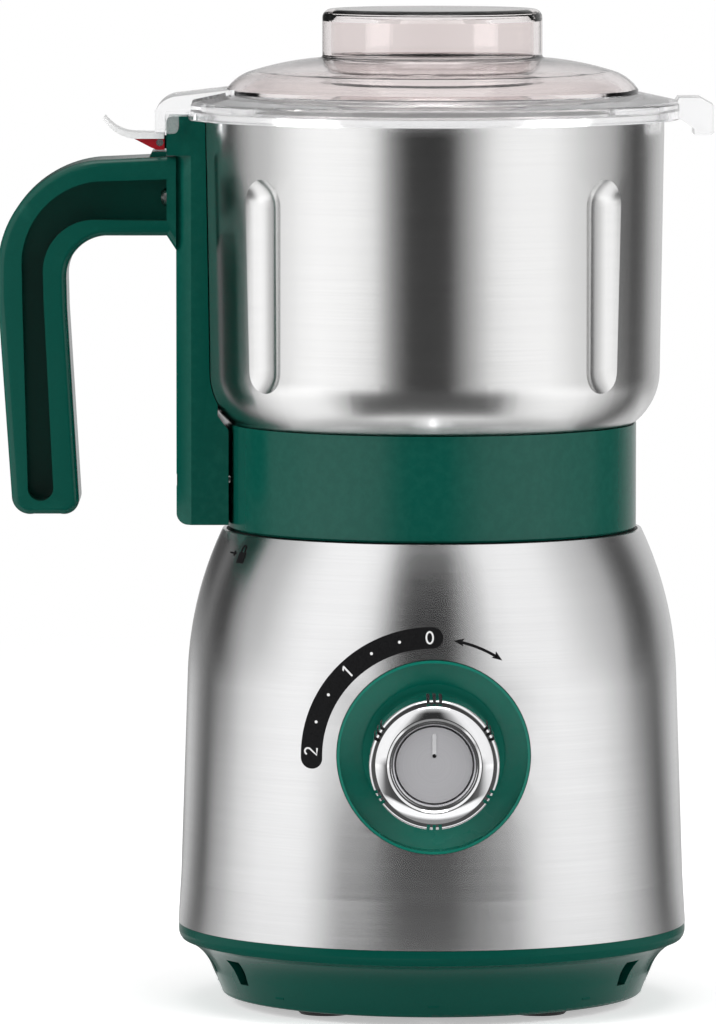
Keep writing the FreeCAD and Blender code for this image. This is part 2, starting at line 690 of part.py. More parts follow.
def field_coils():
    coils = []
    low = STACK_Z - COIL_END
    high = STACK_Z + STACK_H + COIL_END
    for side in (90, 270):
        loop = sector(COIL_IN_R, COIL_OUT_R, side - COIL_HALF, 2 * COIL_HALF, low, high)
        inner = sector(COIL_IN_R - 2, COIL_OUT_R + 2, side - POLE_HALF - 1, 2 * POLE_HALF + 2,
                       STACK_Z - 0.4, STACK_Z + STACK_H + 0.4)
        coils.append(loop.cut(inner))
    return Part.makeCompound(coils)


def stator_bolts():
    low = LOWER_BEARING_Z + BEARING_W - BRACKET_T
    top = STACK_Z + STACK_H + 6.0
    bolt = turned((0, low - 2.5), [
        (3.0, low - 2.5), (3.0, low), (SCREW_SHANK_R, low), (SCREW_SHANK_R, top), (0, top)])
    bolts = []
    for i in range(4):
        copy = bolt.copy()
        x, y = polar(LEG_R, 45 + 90 * i)
        copy.translate(Vector(x, y, 0))
        bolts.append(copy)
    return Part.makeCompound(bolts)


def ball_bearing(low):
    """Closed bearing: outer race, shields and inner race as one turned solid."""
    high = low + BEARING_W
    bore = SHAFT_R + RUN
    inner = SHAFT_R + 2.0
    outer = BEARING_R - 1.6
    return turned((bore, low), [
        (inner, low), (inner, low + 0.5), (outer, low + 0.5), (outer, low), (BEARING_R, low),
        (BEARING_R, high), (outer, high), (outer, high - 0.5), (inner, high - 0.5), (inner, high),
        (bore, high)])


def motor_bearings():
    return Part.makeCompound([ball_bearing(UPPER_BEARING_Z), ball_bearing(LOWER_BEARING_Z)])


def motor_dampers():
    pads = []
    for i in range(4):
        x, y = polar(DAMPER_RING_R, 45 + 90 * i)
        pads.append(ring(SCREW_SHANK_R + 0.2, DAMPER_R, BRACKET_TOP_Z, BRACKET_TOP_Z + DAMPER_H, x, y))
    return Part.makeCompound(pads)


def motor_screws():
    screws = []
    for i in range(4):
        item = screw(SCREW_HEAD_R, 1.8, SCREW_SHANK_R - 0.1, DECK_FLOOR_Z - BRACKET_TOP_Z + BRACKET_T)
        x, y = polar(DAMPER_RING_R, 45 + 90 * i)
        item.translate(Vector(x, y, DECK_FLOOR_Z))
        screws.append(item)
    return Part.makeCompound(screws)


def brush_holders():
    half = BRUSH_HALF + BRUSH_GAP
    low = COMMUTATOR_Z + BRUSH_HIGH - BRUSH_GAP
    top = low + 2 * half
    case = block(COMMUTATOR_R + 2.5, HOLDER_REACH, -half - HOLDER_T, half + HOLDER_T,
                 COMMUTATOR_Z, top + low - COMMUTATOR_Z)
    case = case.cut(block(COMMUTATOR_R + 1, HOLDER_REACH - 1.5, -half, half, low, top))
    return Part.makeCompound(around(case, 2))


def carbon_brushes():
    low = COMMUTATOR_Z + BRUSH_HIGH
    brush = block(COMMUTATOR_R - 2, HOLDER_REACH - 5.0, -BRUSH_HALF, BRUSH_HALF,
                  low, low + 2 * BRUSH_HALF)
    brush = brush.cut(disc(COMMUTATOR_R + GAP, 0, STACK_Z))
    return Part.makeCompound(around(brush, 2))


# Rotor
def motor_shaft():
    low = LOWER_BEARING_Z - 1.5
    top = DOG_TOP_Z - 1.5
    return turned((0, low), [(SHAFT_R - 0.6, low), (SHAFT_R, low + 0.6), (SHAFT_R, top), (0, top)])


def armature_core():
    body = disc(ARMATURE_R, STACK_Z, STACK_Z + STACK_H)
    slot = block(ARMATURE_R - 6, ARMATURE_R + 1, -0.9, 0.9, STACK_Z - 1, STACK_Z + STACK_H + 1)
    body = less(body, around(slot, WINDING_SLOTS))
    return body.cut(disc(SHAFT_R, 0, NECK_Z))


def armature_winding():
    ends = []
    outer = ARMATURE_R - 3.0
    top = STACK_Z + STACK_H
    for low, high in ((STACK_Z - COIL_END, STACK_Z), (top, top + COIL_END)):
        ends.append(turned((SHAFT_R, low), [
            (outer - 3.0, low), (outer, low + 1.5), (outer, high - 1.5), (outer - 3.0, high),
            (SHAFT_R, high)]))
    return Part.makeCompound(ends)


def commutator():
    body = ring(SHAFT_R, COMMUTATOR_R, COMMUTATOR_Z, COMMUTATOR_Z + COMMUTATOR_H)
    slot = block(COMMUTATOR_R - 0.7, COMMUTATOR_R + 1, -0.3, 0.3, COMMUTATOR_Z - 1, COMMUTATOR_Z + 20)
    return less(body, around(slot, WINDING_SLOTS))


def cooling_fan():
    hub = ring(SHAFT_R, SHAFT_R + 5.0, FAN_Z, FAN_Z + FAN_HUB_H)
    back = ring(SHAFT_R, FAN_R, FAN_Z, FAN_Z + 1.6)
    vane = block(FAN_EYE_R, FAN_R, -0.7, 0.7, FAN_Z + 1.6, FAN_Z + FAN_H)
    vane.rotate(Vector(FAN_EYE_R, 0, 0), AXIS, 22)
    vane = vane.common(disc(FAN_R, FAN_Z, FAN_Z + FAN_H))
    return joined([hub, back] + around(vane, FAN_BLADES))


def star(root, tip, low, high, teeth, half_deg):
    """Splined bar: a round core with equal straight teeth."""
    parts = [disc(root, low, high)]
    for i in range(teeth):
        parts.append(sector(root - 1.0, tip, 360.0 * i / teeth - half_deg, 2 * half_deg, low, high))
    return joined(parts)


def drive_dog():
    body = joined([
        disc(DOG_R - DOG_TOOTH, DOG_Z, DOG_Z + 4.0),
        star(DOG_R - DOG_TOOTH, DOG_R, DOG_Z + 4.0, DOG_TOP_Z, DOG_TEETH, 14.0)])
    return body.cut(disc(SHAFT_R, 0, DOG_TOP_Z - 1.5))


# Control dial on the front
def dial_bezel():
    barrel = joined([
        to_front(disc(BEZEL_R, BEZEL_BACK, KNOB_FRONT), DIAL_Z),
        to_front(disc(BEZEL_R + 2.2, BEZEL_BACK, BEZEL_BACK + 2.0), DIAL_Z)])
    foot = (SHELL_FOOT_R + BEZEL_PROUD, LIP_Z)
    skin = turned((0, LIP_Z), [foot] + shell_steps(-BEZEL_PROUD) + [(0, NECK_Z)])
    barrel = barrel.common(skin)
    front = KNOB_FRONT
    dish = turned((0, DISH_FLOOR), [
        (DISH_FLOOR_R, DISH_FLOOR), (DISH_RIM_R, DISH_BREAK), (DISH_RIM_R, front), (0, front)])
    hole = disc(SPINDLE_R + 1.5, BEZEL_BACK - 5, front)
    return less(barrel, [to_front(dish, DIAL_Z), to_front(hole, DIAL_Z)])


def rotary_switch():
    body = joined([
        disc(SWITCH_CAN_R, BEZEL_BACK - SWITCH_CAN_H, BEZEL_BACK),
        disc(SPINDLE_R + 1.3, BEZEL_BACK, DISH_FLOOR + 0.6),
        block(-15, 15, -4, 4, BEZEL_BACK - 3, BEZEL_BACK)])
    back = BEZEL_BACK - SWITCH_CAN_H
    tabs = [block(x - 1.2, x + 1.2, 9.0, 9.8, back - 6, back + 1) for x in (-6, 0, 6)]
    body = joined([body] + tabs).cut(disc(SPINDLE_R + RUN, BEZEL_BACK - 10, KNOB_FRONT))
    return to_front(body, DIAL_Z)


def knob_spindle():
    return to_front(disc(SPINDLE_R, BEZEL_BACK - 9, KNOB_FACE_Y - 6.0), DIAL_Z)


def knob_ring():
    band_y = KNOB_FRONT - KNOB_BAND_DROP
    crown_r = KNOB_R - KNOB_BAND
    well_r = KNOB_WELL_R
    body = turned((0, KNOB_BACK), [
        (KNOB_R - 0.6, KNOB_BACK), (KNOB_R, KNOB_BACK + 0.6), (KNOB_R, band_y - 1.0),
        ((KNOB_R - 0.3, band_y - 0.3), (KNOB_R - 1.0, band_y)), (crown_r, band_y),
        (crown_r, KNOB_FRONT - 0.8), ((crown_r - 0.23, KNOB_FRONT - 0.23), (crown_r - 0.8, KNOB_FRONT)),
        (well_r + 0.6, KNOB_FRONT), (well_r, KNOB_FRONT - 0.5), (well_r, KNOB_FRONT - 1.5),
        (well_r - 0.4, KNOB_FRONT - 1.5), (well_r - 0.6, KNOB_FRONT - 1.0),
        (well_r - 1.0, KNOB_FRONT - 1.0),
        (KNOB_FACE_R + 0.2, KNOB_FACE_Y - 0.3), (KNOB_FACE_R + 0.2, KNOB_FACE_Y - FACE_T),
        (0, KNOB_FACE_Y - FACE_T)])
    bore = disc(SPINDLE_R + 0.02, KNOB_BACK - 1, KNOB_FACE_Y - 5.9)
    well = ring(SPINDLE_R + 3.5, crown_r - 1.2, KNOB_BACK - 1, KNOB_FACE_Y - 7.5)
    notch = block(KNOB_R - NOTCH_DEEP, KNOB_R + 1, -0.45, 0.45, KNOB_BACK + 8.0, KNOB_FRONT + 1)
    notches = []
    for step in (-1, 0, 1):
        notches += around(notch, KNOB_GROUPS, 30 + 5.5 * step)
    return to_front(less(body, [bore, well] + notches), DIAL_Z)


def knob_face():
    body = disc(KNOB_FACE_R, KNOB_FACE_Y - FACE_T, KNOB_FACE_Y)
    groove = block(-POINTER_HALF, POINTER_HALF, POINTER_LOW, POINTER_TOP,
                   KNOB_FACE_Y - POINTER_DEEP, KNOB_FACE_Y + 1)
    return to_front(body.cut(groove), DIAL_Z)


def knob_pointer():
    inlay = block(-POINTER_HALF, POINTER_HALF, POINTER_LOW, POINTER_TOP,
                  KNOB_FACE_Y - POINTER_DEEP, KNOB_FACE_Y + 0.15)
    return to_front(inlay, DIAL_Z)


# Control board
def control_board():
    return block(-BOARD_HALF, BOARD_HALF, BOARD_Y, BOARD_Y + BOARD_T, BOARD_LOW, BOARD_TOP)


def board_parts():
    back = BOARD_Y + BOARD_T
    z = BOARD_LOW
    cap = Part.makeCylinder(5.0, 12.0, Vector(-11, back, z + 18.2), Vector(0, 1, 0))
    choke = block(4, 15, back, back + 9, z + 14.2, z + 26.2)
    chip = block(-14, -4, back, back + 3, z + 29.2, z + 39.2)
    sink = block(4, 16, back, back + 5, z + 30.2, z + 41.2)
    for x in (6.5, 9.5, 12.5):
        sink = sink.cut(block(x, x + 1.2, back + 1.5, back + 6, z + 29.2, z + 42.2))
    return Part.makeCompound([cap, choke, chip, sink])


def cord_bush():
    shell_y = INLET_SHELL_Y
    body = turned((INLET_BORE_R, INLET_IN_Y), [
        (INLET_BODY_R + 1.2, INLET_IN_Y), (INLET_BODY_R + 1.2, shell_y - SHELL_T - 1.0),
        (INLET_BODY_R, shell_y - SHELL_T - 1.0), (INLET_BODY_R, shell_y + 0.1),
        (INLET_FLANGE_R, shell_y + 0.1), (INLET_FLANGE_R - 1.4, INLET_OUT_Y),
        (INLET_BORE_R + 0.8, INLET_OUT_Y), (INLET_BORE_R, INLET_OUT_Y - 0.8)])
    body.rotate(ORIGIN, Vector(1, 0, 0), -90)
    body.translate(Vector(0, 0, INLET_Z))
    return body


# Cup: pressed steel, with ribs of even wall
def cup_profile(inset, top):
    low = CUP_FLOOR_Z + inset
    corner = CUP_CORNER - inset
    wall_r = CUP_LOW_R - inset
    centre = (wall_r - corner, low + corner)
    middle = (centre[0] + corner * 0.70711, centre[1] - corner * 0.70711)
    return turned((0, low), [
        (centre[0], low), (middle, (wall_r, centre[1])), (CUP_TOP_R - inset, CUP_RIM_Z - RIM_BEAD_H - 4),
        (CUP_TOP_R - inset, top), (0, top)])


def rib_tool(angle, grow):
    """Upright capsule that presses one rib into the wall."""
    radius = ((RIB_WIDTH / 2) ** 2 + RIB_DEPTH ** 2) / (2 * RIB_DEPTH)
    wall_r = (CUP_LOW_R + CUP_TOP_R) / 2
    x = wall_r - RIB_DEPTH + radius
    low = RIB_LOW_Z + RIB_WIDTH / 2
    top = RIB_TOP_Z - RIB_WIDTH / 2
    tool = joined([
        disc(radius + grow, low, top, x),
        Part.makeSphere(radius + grow, Vector(x, 0, low)),
        Part.makeSphere(radius + grow, Vector(x, 0, top))])
    return spun(tool, angle - 90)


def grinding_cup():
    outer = cup_profile(0, CUP_RIM_Z)
    bead = ring(CUP_TOP_R - CUP_WALL / 2, CUP_TOP_R + RIM_BEAD, CUP_RIM_Z - RIM_BEAD_H, CUP_RIM_Z)
    cavity = cup_profile(CUP_WALL, CUP_RIM_Z + 5)
    for angle in RIB_ANGLES:
        outer = outer.cut(rib_tool(angle, 0))
        cavity = cavity.cut(rib_tool(angle, CUP_WALL))
    return joined([outer, bead]).cut(cavity).cut(disc(BUSH_R + FIT, NECK_Z, CUP_RIM_Z))


def cup_collar():
    low = NECK_Z + SEAT_GAP
    top = low + COLLAR_H
    inner_r = COLLAR_R - COLLAR_WALL
    web_low = CUP_FLOOR_Z - FIT - COLLAR_WEB
    body = turned((inner_r, low), [
        (COLLAR_R - 0.6, low), (COLLAR_R, low + 0.6), (COLLAR_R, top), (inner_r - 6, top),
        (BUSH_R + 2.0, top), (BUSH_R + FIT, top), (BUSH_R + FIT, web_low), (inner_r - 3, web_low),
        ((inner_r - 0.9, web_low - 0.9), (inner_r, web_low - 3))])
    body = body.cut(cup_profile(-FIT, CUP_RIM_Z))
    lugs = []
    for i in range(3):
        lugs.append(sector(LOCK_RING_R + 0.4, inner_r + 1.0, LUG_START + 120 * i, LUG_ARC,
                           LOCK_RING_TOP - LUG_T - 0.5 - LUG_T, LOCK_RING_TOP - LUG_T - 0.5))
    body = joined([body] + lugs)
    notch = block(-COLLAR_R - 2, -inner_r + 2, -ROD_FOOT_HALF - 0.4, ROD_FOOT_HALF + 0.4,
                  low - 1, ROD_FOOT_Z + ROD_FOOT_T + 0.4)
    holes = []
    for y in (-COLUMN_SCREW_Y, COLUMN_SCREW_Y):
        holes.append(bar_x(SCREW_SHANK_R + 0.1, -COLLAR_R - 2, 10 - COLLAR_R, y, COLUMN_SCREW_Z))
    return less(body, [notch] + holes)


def cup_gasket():
    low = CUP_FLOOR_Z + CUP_WALL
    return ring(BUSH_R + FIT, BUSH_FLANGE_R - 0.5, low, low + GASKET_T)


def blade_bush():
    seat_z = CUP_FLOOR_Z + CUP_WALL + GASKET_T
    top = seat_z + BUSH_FLANGE_T
    bore = BEARING_R + RUN
    return turned((bore, BUSH_LOW_Z), [
        (BUSH_R, BUSH_LOW_Z), (BUSH_R, seat_z), (BUSH_FLANGE_R, seat_z), (BUSH_FLANGE_R, seat_z + 1.2),
        ((BUSH_FLANGE_R - 1.2, seat_z + 2.4), (BUSH_FLANGE_R - 4.0, top)), (SHAFT_R + 3.0, top),
        (SHAFT_R + 3.0, top - 1.5), (bore, top - 1.5)])


def blade_bearings():
    top = CUP_FLOOR_Z + CUP_WALL + GASKET_T + BUSH_FLANGE_T - 1.5 - 0.1
    upper = ball_bearing(top - BEARING_W)
    lower = ball_bearing(BUSH_LOW_Z)
    return Part.makeCompound([upper, lower])


def shaft_seal():
    top = CUP_FLOOR_Z + CUP_WALL + GASKET_T + BUSH_FLANGE_T
    return ring(SHAFT_R + RUN, SHAFT_R + 2.9, top - 1.4, top + 0.9)


def bush_nut():
    top = CUP_FLOOR_Z - FIT - COLLAR_WEB
    circum = NUT_AF / 2 / math.cos(math.radians(30))
    corners = [Vector(*polar(circum, 60 * i), top - NUT_H) for i in range(7)]
    body = Part.Face(Part.makePolygon(corners)).extrude(Vector(0, 0, NUT_H))
    bevel = turned((0, top - NUT_H), [
        (NUT_AF / 2, top - NUT_H), (circum, top - NUT_H + 1.6), (circum, top), (0, top)])
    return body.common(bevel).cut(disc(BUSH_R + FIT, NECK_Z, CUP_RIM_Z))


# Blades and driven dog
def blade_shaft():
    low = DOG_TOP_Z + 1.0
    thread = BLADE_TOP_Z - 1.0
    return turned((0, low), [
        (SHAFT_R, low), (SHAFT_R, UPPER_HUB_Z), (SHAFT_R - 0.8, UPPER_HUB_Z), (SHAFT_R - 0.8, thread),
        (0, thread)])


def blade(start, steps, reach, hub_z, bore):
    """Two-armed blade: one arm's side profile, cut to a swept plan, and its copy across the hub."""
    strip = plate_y(start, steps, -BLADE_CHORD / 2, BLADE_CHORD / 2)
    half = BLADE_CHORD / 2
    plan = Part.Face(Part.makePolygon([
        Vector(-1, -half), Vector(reach * 0.55, -half), Vector(reach, -half * 0.1),
        Vector(reach, half * 0.75), Vector(reach * 0.5, half), Vector(-1, half), Vector(-1, -half)]))
    arm = strip.common(plan.extrude(Vector(0, 0, LID_TOP_Z)))
    hub = disc(BLADE_HUB_R, hub_z, hub_z + BLADE_T)
    return joined([hub, arm, spun(arm, 180)]).cut(disc(bore, NECK_Z, LID_TOP_Z))


def lower_blade():
    z = LOWER_HUB_Z
    low = z - LOWER_BLADE_DROP
    tip = LOWER_BLADE_REACH
    steps = [
        (12, z), (20, low), (tip, low), (tip, low + BLADE_T * 0.6), (tip - 3, low + BLADE_T),
        (20.6, low + BLADE_T), (12.6, z + BLADE_T), (0, z + BLADE_T)]
    return blade((0, z), steps, tip, z, SHAFT_R)


def upper_blade():
    z = UPPER_HUB_Z
    bend = z + 2.5
    high = z + UPPER_BLADE_RISE
    tip = UPPER_BLADE_REACH
    steps = [
        (14, z), (24, bend), (tip, high), (tip - 0.9, high + BLADE_T), (23.4, bend + BLADE_T),
        (13.7, z + BLADE_T), (0, z + BLADE_T)]
    return spun(blade((0, z), steps, tip, z, SHAFT_R - 0.75), 90)


def blade_spacer():
    low = CUP_FLOOR_Z + CUP_WALL + GASKET_T + BUSH_FLANGE_T + 1.2
    lower = ring(SHAFT_R, SPACER_R, low, LOWER_HUB_Z)
    upper = ring(SHAFT_R, SPACER_R - 0.5, LOWER_HUB_Z + BLADE_T, UPPER_HUB_Z)
    return Part.makeCompound([lower, upper])


def blade_nut():
    low = UPPER_HUB_Z + BLADE_T
    washer = ring(SHAFT_R - 0.8, SPACER_R - 0.5, low, low + 1.0)
    corners = [Vector(*polar(SHAFT_R + 2.3, 60 * i), low + 1.0) for i in range(7)]
    hexagon = Part.Face(Part.makePolygon(corners)).extrude(Vector(0, 0, 4.4))
    dome = Part.makeSphere(SHAFT_R + 2.6, Vector(0, 0, low + 1.0))
    dome = dome.common(disc(SHAFT_R + 1.4, low + 5.4, low + 9.0))
    return joined([washer, hexagon, dome]).cut(disc(SHAFT_R - 0.8, NECK_Z, BLADE_TOP_Z - 1.0))


def driven_dog():
    low = DOG_Z + 5.2
    top = BUSH_LOW_Z - 1.4
    outer = DOG_R + 3.7
    body = turned((0, low), [
        (outer - 0.6, low), (outer, low + 0.6), (outer, top - 1.4), (outer - 1.4, top), (0, top)])
    socket = star(DOG_R - DOG_TOOTH + 0.4, DOG_R + 0.4, low - 1, DOG_TOP_Z + 0.6, DOG_TEETH, 18.0)
    return less(body, [socket, disc(SHAFT_R, DOG_TOP_Z, CUP_RIM_Z)])


# Handle: column on the cup, J-shaped grip screwed to it
def column_outline():
    return (COLUMN_OUT_X, COLUMN_LOW_Z + 3.0), [
        (COLUMN_OUT_X, ARM_TOP_Z + 0.3), (COLUMN_HEAD_X, ARM_TOP_Z + 0.3),
        (COLUMN_HEAD_X, COLUMN_TOP_Z - 1.5),
        ((COLUMN_HEAD_X + 0.45, COLUMN_TOP_Z - 0.45), (COLUMN_HEAD_X + 1.5, COLUMN_TOP_Z)),
        (5.0 - CUP_TOP_R, COLUMN_TOP_Z), (5.0 - CUP_TOP_R, CUP_FLOOR_Z + 6.5),
        (COLUMN_SEAT_X, CUP_FLOOR_Z + 2.5),
        (COLUMN_SEAT_X, COLUMN_LOW_Z), (COLUMN_OUT_X + 3.0, COLUMN_LOW_Z),
        ((COLUMN_OUT_X + 0.9, COLUMN_LOW_Z + 0.9), (COLUMN_OUT_X, COLUMN_LOW_Z + 3.0))]


def handle_column():
    start, steps = column_outline()
    body = plate_y(start, steps, -COLUMN_HALF, COLUMN_HALF)
    bevel = COLUMN_BEVEL
    side = -COLUMN_HALF
    out = COLUMN_HEAD_X - 1
    corner = Part.Face(Part.makePolygon([
        Vector(out, side - 1, 0), Vector(COLUMN_OUT_X + bevel, side - 1, 0),
        Vector(COLUMN_OUT_X + bevel, side, 0), Vector(COLUMN_OUT_X, side + bevel, 0),
        Vector(out, side + bevel, 0), Vector(out, side - 1, 0)]))
    corner = corner.extrude(Vector(0, 0, ARM_TOP_Z + 0.3))
    body = less(body, [corner, corner.mirror(ORIGIN, Vector(0, 1, 0))])
    body = body.cut(cup_profile(-FIT, CUP_RIM_Z + 20))
    body = body.cut(disc(CUP_TOP_R + RIM_BEAD + FIT, CUP_RIM_Z - RIM_BEAD_H - FIT, LID_TOP_Z))
    body = body.cut(disc(COLLAR_R + FIT, LIP_Z, NECK_Z + SEAT_GAP + COLLAR_H + FIT))
    bore = disc(PIN_ROD_R + 0.3, LIP_Z, LID_TOP_Z, ROD_X)
    pocket = disc(SPRING_POCKET_R, SPRING_POCKET_Z, SPRING_POCKET_Z + SPRING_LEN + 4.0, ROD_X)
    slot = block(ROD_X - PIN_ROD_R - 0.4, COLUMN_SEAT_X + 2, -ROD_FOOT_HALF - 0.4, ROD_FOOT_HALF + 0.4,
                 COLUMN_LOW_Z - 1, ROD_FOOT_Z + ROD_FOOT_T + 0.4)
    ear = plate_y((COLUMN_HEAD_X + 0.5, LATCH_Z - 2.0), [
        (COLUMN_HEAD_X + 0.5, LATCH_Z + 1.8), (LATCH_X, LATCH_Z + 1.8),
        ((LATCH_X - 1.8, LATCH_Z), (LATCH_X, LATCH_Z - 1.8))], -EAR_HALF, EAR_HALF)
    pin_hole = Part.makeCylinder(LATCH_PIN_R, 40, Vector(LATCH_X, -20, LATCH_Z), Vector(0, 1, 0))
    body = joined([body, ear])
    return less(body, [bore, pocket, slot, pin_hole] + column_screw_holes() + grip_screw_holes())


def bar_x(radius, x0, x1, y, z):
    return Part.makeCylinder(radius, x1 - x0, Vector(x0, y, z), Vector(1, 0, 0))


def column_screw_holes():
    holes = []
    for y in (-COLUMN_SCREW_Y, COLUMN_SCREW_Y):
        holes.append(bar_x(SCREW_SHANK_R + 0.1, COLUMN_OUT_X - 5, COLUMN_SEAT_X + 10, y, COLUMN_SCREW_Z))
        holes.append(bar_x(SCREW_HEAD_R + 0.3, COLUMN_OUT_X - 5, COLUMN_OUT_X + 3.6, y, COLUMN_SCREW_Z))
    return holes


def grip_screw_holes():
    x = COLUMN_HEAD_X
    return [bar_x(SCREW_SHANK_R, x - 16, x + 7.7, y, GRIP_SCREW_Z)
            for y in (-GRIP_SCREW_Y, GRIP_SCREW_Y)]


def screw_x(length, x, y, z, head_t):
    """Screw driven towards +X, its head's seat at x."""
    item = screw(SCREW_HEAD_R - 0.5, head_t, SCREW_SHANK_R - 0.05, length)
    item.rotate(ORIGIN, Vector(0, 1, 0), -90)
    item.translate(Vector(x, y, z))
    return item


def column_screws():
    seat = COLUMN_OUT_X + 3.6
    return Part.makeCompound([
        screw_x(-seat - COLLAR_R + COLLAR_WALL - 1.0, seat, y, COLUMN_SCREW_Z, 1.8)
        for y in (-COLUMN_SCREW_Y, COLUMN_SCREW_Y)])


def grip_screws():
    return Part.makeCompound([
        screw_x(6.2, END_WALL_X, y, GRIP_SCREW_Z, 1.6) for y in (-GRIP_SCREW_Y, GRIP_SCREW_Y)])


def handle_grip():
    out = GRIP_OUT_X
    inn = GRIP_IN_X
    low = GRIP_END_Z
    top = ARM_TOP_Z
    start = (COLUMN_OUT_X, top)
    steps = [
        (out + 28.5, top - 1.0), ((out + 9.3, top - 9.8), (out, top - 32.4)),
        (out, top - 39.4), (out + 3.8, low + 5.0), ((out + 5.9, low + 0.9), (out + 10.0, low)),
        (inn - 1.8, low), ((inn + 2.0, low + 1.0), (inn + 3.4, low + 4.6)), (inn + 0.2, top - 42.4),
        (inn, top - 34.4), ((inn + 2.8, ARM_LOW_Z - 4.0), (inn + 10.7, ARM_LOW_Z)),
        (COLUMN_HEAD_X, ARM_LOW_Z), (COLUMN_OUT_X, ARM_LOW_Z - 4.0)]
    body = plate_y(start, steps, -GRIP_HALF, GRIP_HALF)
    body = rounded_rim(body)
    boss = plate_y((COLUMN_HEAD_X - 0.2, ARM_TOP_Z - 1), [
        (COLUMN_HEAD_X - 0.2, ARM_TOP_Z + 1.1), (LATCH_X - 2.2, ARM_TOP_Z + 1.1),
        (LATCH_X - 3.2, ARM_TOP_Z - 1)], -PAD_HALF, PAD_HALF)
    body = joined([body, boss])
    channel_start = (END_WALL_X, top - 6.4)
    channel = [
        (out + 27.5, top - 7.0), ((out + 12.9, top - 14.4), (out + 6.8, top - 32.4)),
        (out + 6.9, top - 40.4), (out + 8.3, low + 7.7), ((out + 11.7, low + 3.7), (inn - 3.8, low + 7.1)),
        (inn - 6.4, top - 40.4), (inn - 6.6, top - 31.9),
        ((inn - 2.2, ARM_LOW_Z + 0.4), (inn + 9.2, ARM_LOW_Z + 4.4)),
        (END_WALL_X, ARM_LOW_Z + 4.2)]
    front = plate_y(channel_start, channel, -GRIP_HALF - 1, -WEB_HALF)
    back = plate_y(channel_start, channel, WEB_HALF, GRIP_HALF + 1)
    screw_ways = [bar_x(SCREW_SHANK_R + 0.1, END_WALL_X - 5, END_WALL_X + 14, y, GRIP_SCREW_Z)
                  for y in (-GRIP_SCREW_Y, GRIP_SCREW_Y)]
    return less(body, [front, back] + screw_ways)


def rounded_rim(body):
    """Round the long outer edges of the grip's two faces."""
    edges = []
    for edge in body.Edges:
        low = edge.BoundBox
        flat = abs(low.YMin - low.YMax) < 1e-6 and abs(abs(low.YMin) - GRIP_HALF) < 1e-6
        if flat and low.XMax < COLUMN_OUT_X + 0.5 and edge.Length > 2.5:
            if not (abs(low.XMin - COLUMN_OUT_X) < 1e-6 and abs(low.XMax - COLUMN_OUT_X) < 1e-6):
                edges.append(edge)
    return body.makeFillet(RIM_ROUND, edges)


def interlock_rod():
    top = COLUMN_TOP_Z - 2.6
    flange_z = SPRING_POCKET_Z + SPRING_LEN + 0.1
    rod = turned((0, ROD_FOOT_Z), [
        (PIN_ROD_R, ROD_FOOT_Z), (PIN_ROD_R, flange_z), (SPRING_POCKET_R - 0.3, flange_z),
        (SPRING_POCKET_R - 0.3, flange_z + 1.4), (PIN_ROD_R, flange_z + 1.4), (PIN_ROD_R, top), (0, top)])
    rod.translate(Vector(ROD_X, 0, 0))
    foot = block(ROD_X, ROD_FOOT_TIP, -ROD_FOOT_HALF, ROD_FOOT_HALF, ROD_FOOT_Z, ROD_FOOT_Z + ROD_FOOT_T)
    return joined([rod, foot])


def rod_spring():
    return coil(SPRING_R - SPRING_WIRE_R, SPRING_WIRE_R, SPRING_POCKET_Z + 0.05, SPRING_LEN, 6, ROD_X)


# Latch lever and thumb pad
def latch_lever():
    x = LATCH_X
    z = LATCH_Z
    body = plate_y((x + 1.3, z - 2.0), [
        (x + 1.3, z + PAD_LIFT), (x - 7.2, z + PAD_LIFT), (x - 2.6, z - 1.3), (x - 1.0, z - 2.0)],
        -LATCH_HALF, LATCH_HALF)
    slot = block(x - 2.4, x + 2, -EAR_HALF - GAP, EAR_HALF + GAP, z - 5, z + 2.4)
    pin_hole = Part.makeCylinder(LATCH_PIN_R + RUN, 40, Vector(x, -20, z), Vector(0, 1, 0))
    return less(body, [slot, pin_hole])


def latch_pad():
    x = LATCH_X
    z = LATCH_Z + PAD_LIFT
    pad = plate_y((x + 1.2, z), [
        (x + 1.2, z + 1.5), (x - 6.6, z + 1.7), ((x - 11.6, z + 2.9), (x - 15.4, z + 6.2)),
        ((x - 15.8, z + 5.6), (x - 15.4, z + 5.0)), ((x - 11.6, z + 1.4), (x - 6.6, z))],
        -PAD_HALF, PAD_HALF)
    slot = block(x - 2.4, x + 2, -EAR_HALF - GAP, EAR_HALF + GAP, z - 1, z + 1.2)
    return pad.cut(slot)


def latch_pin():
    half = LATCH_HALF - 0.3
    start = Vector(LATCH_X, -half, LATCH_Z)
    return Part.makeCylinder(LATCH_PIN_R, 2 * half, start, Vector(0, 1, 0))


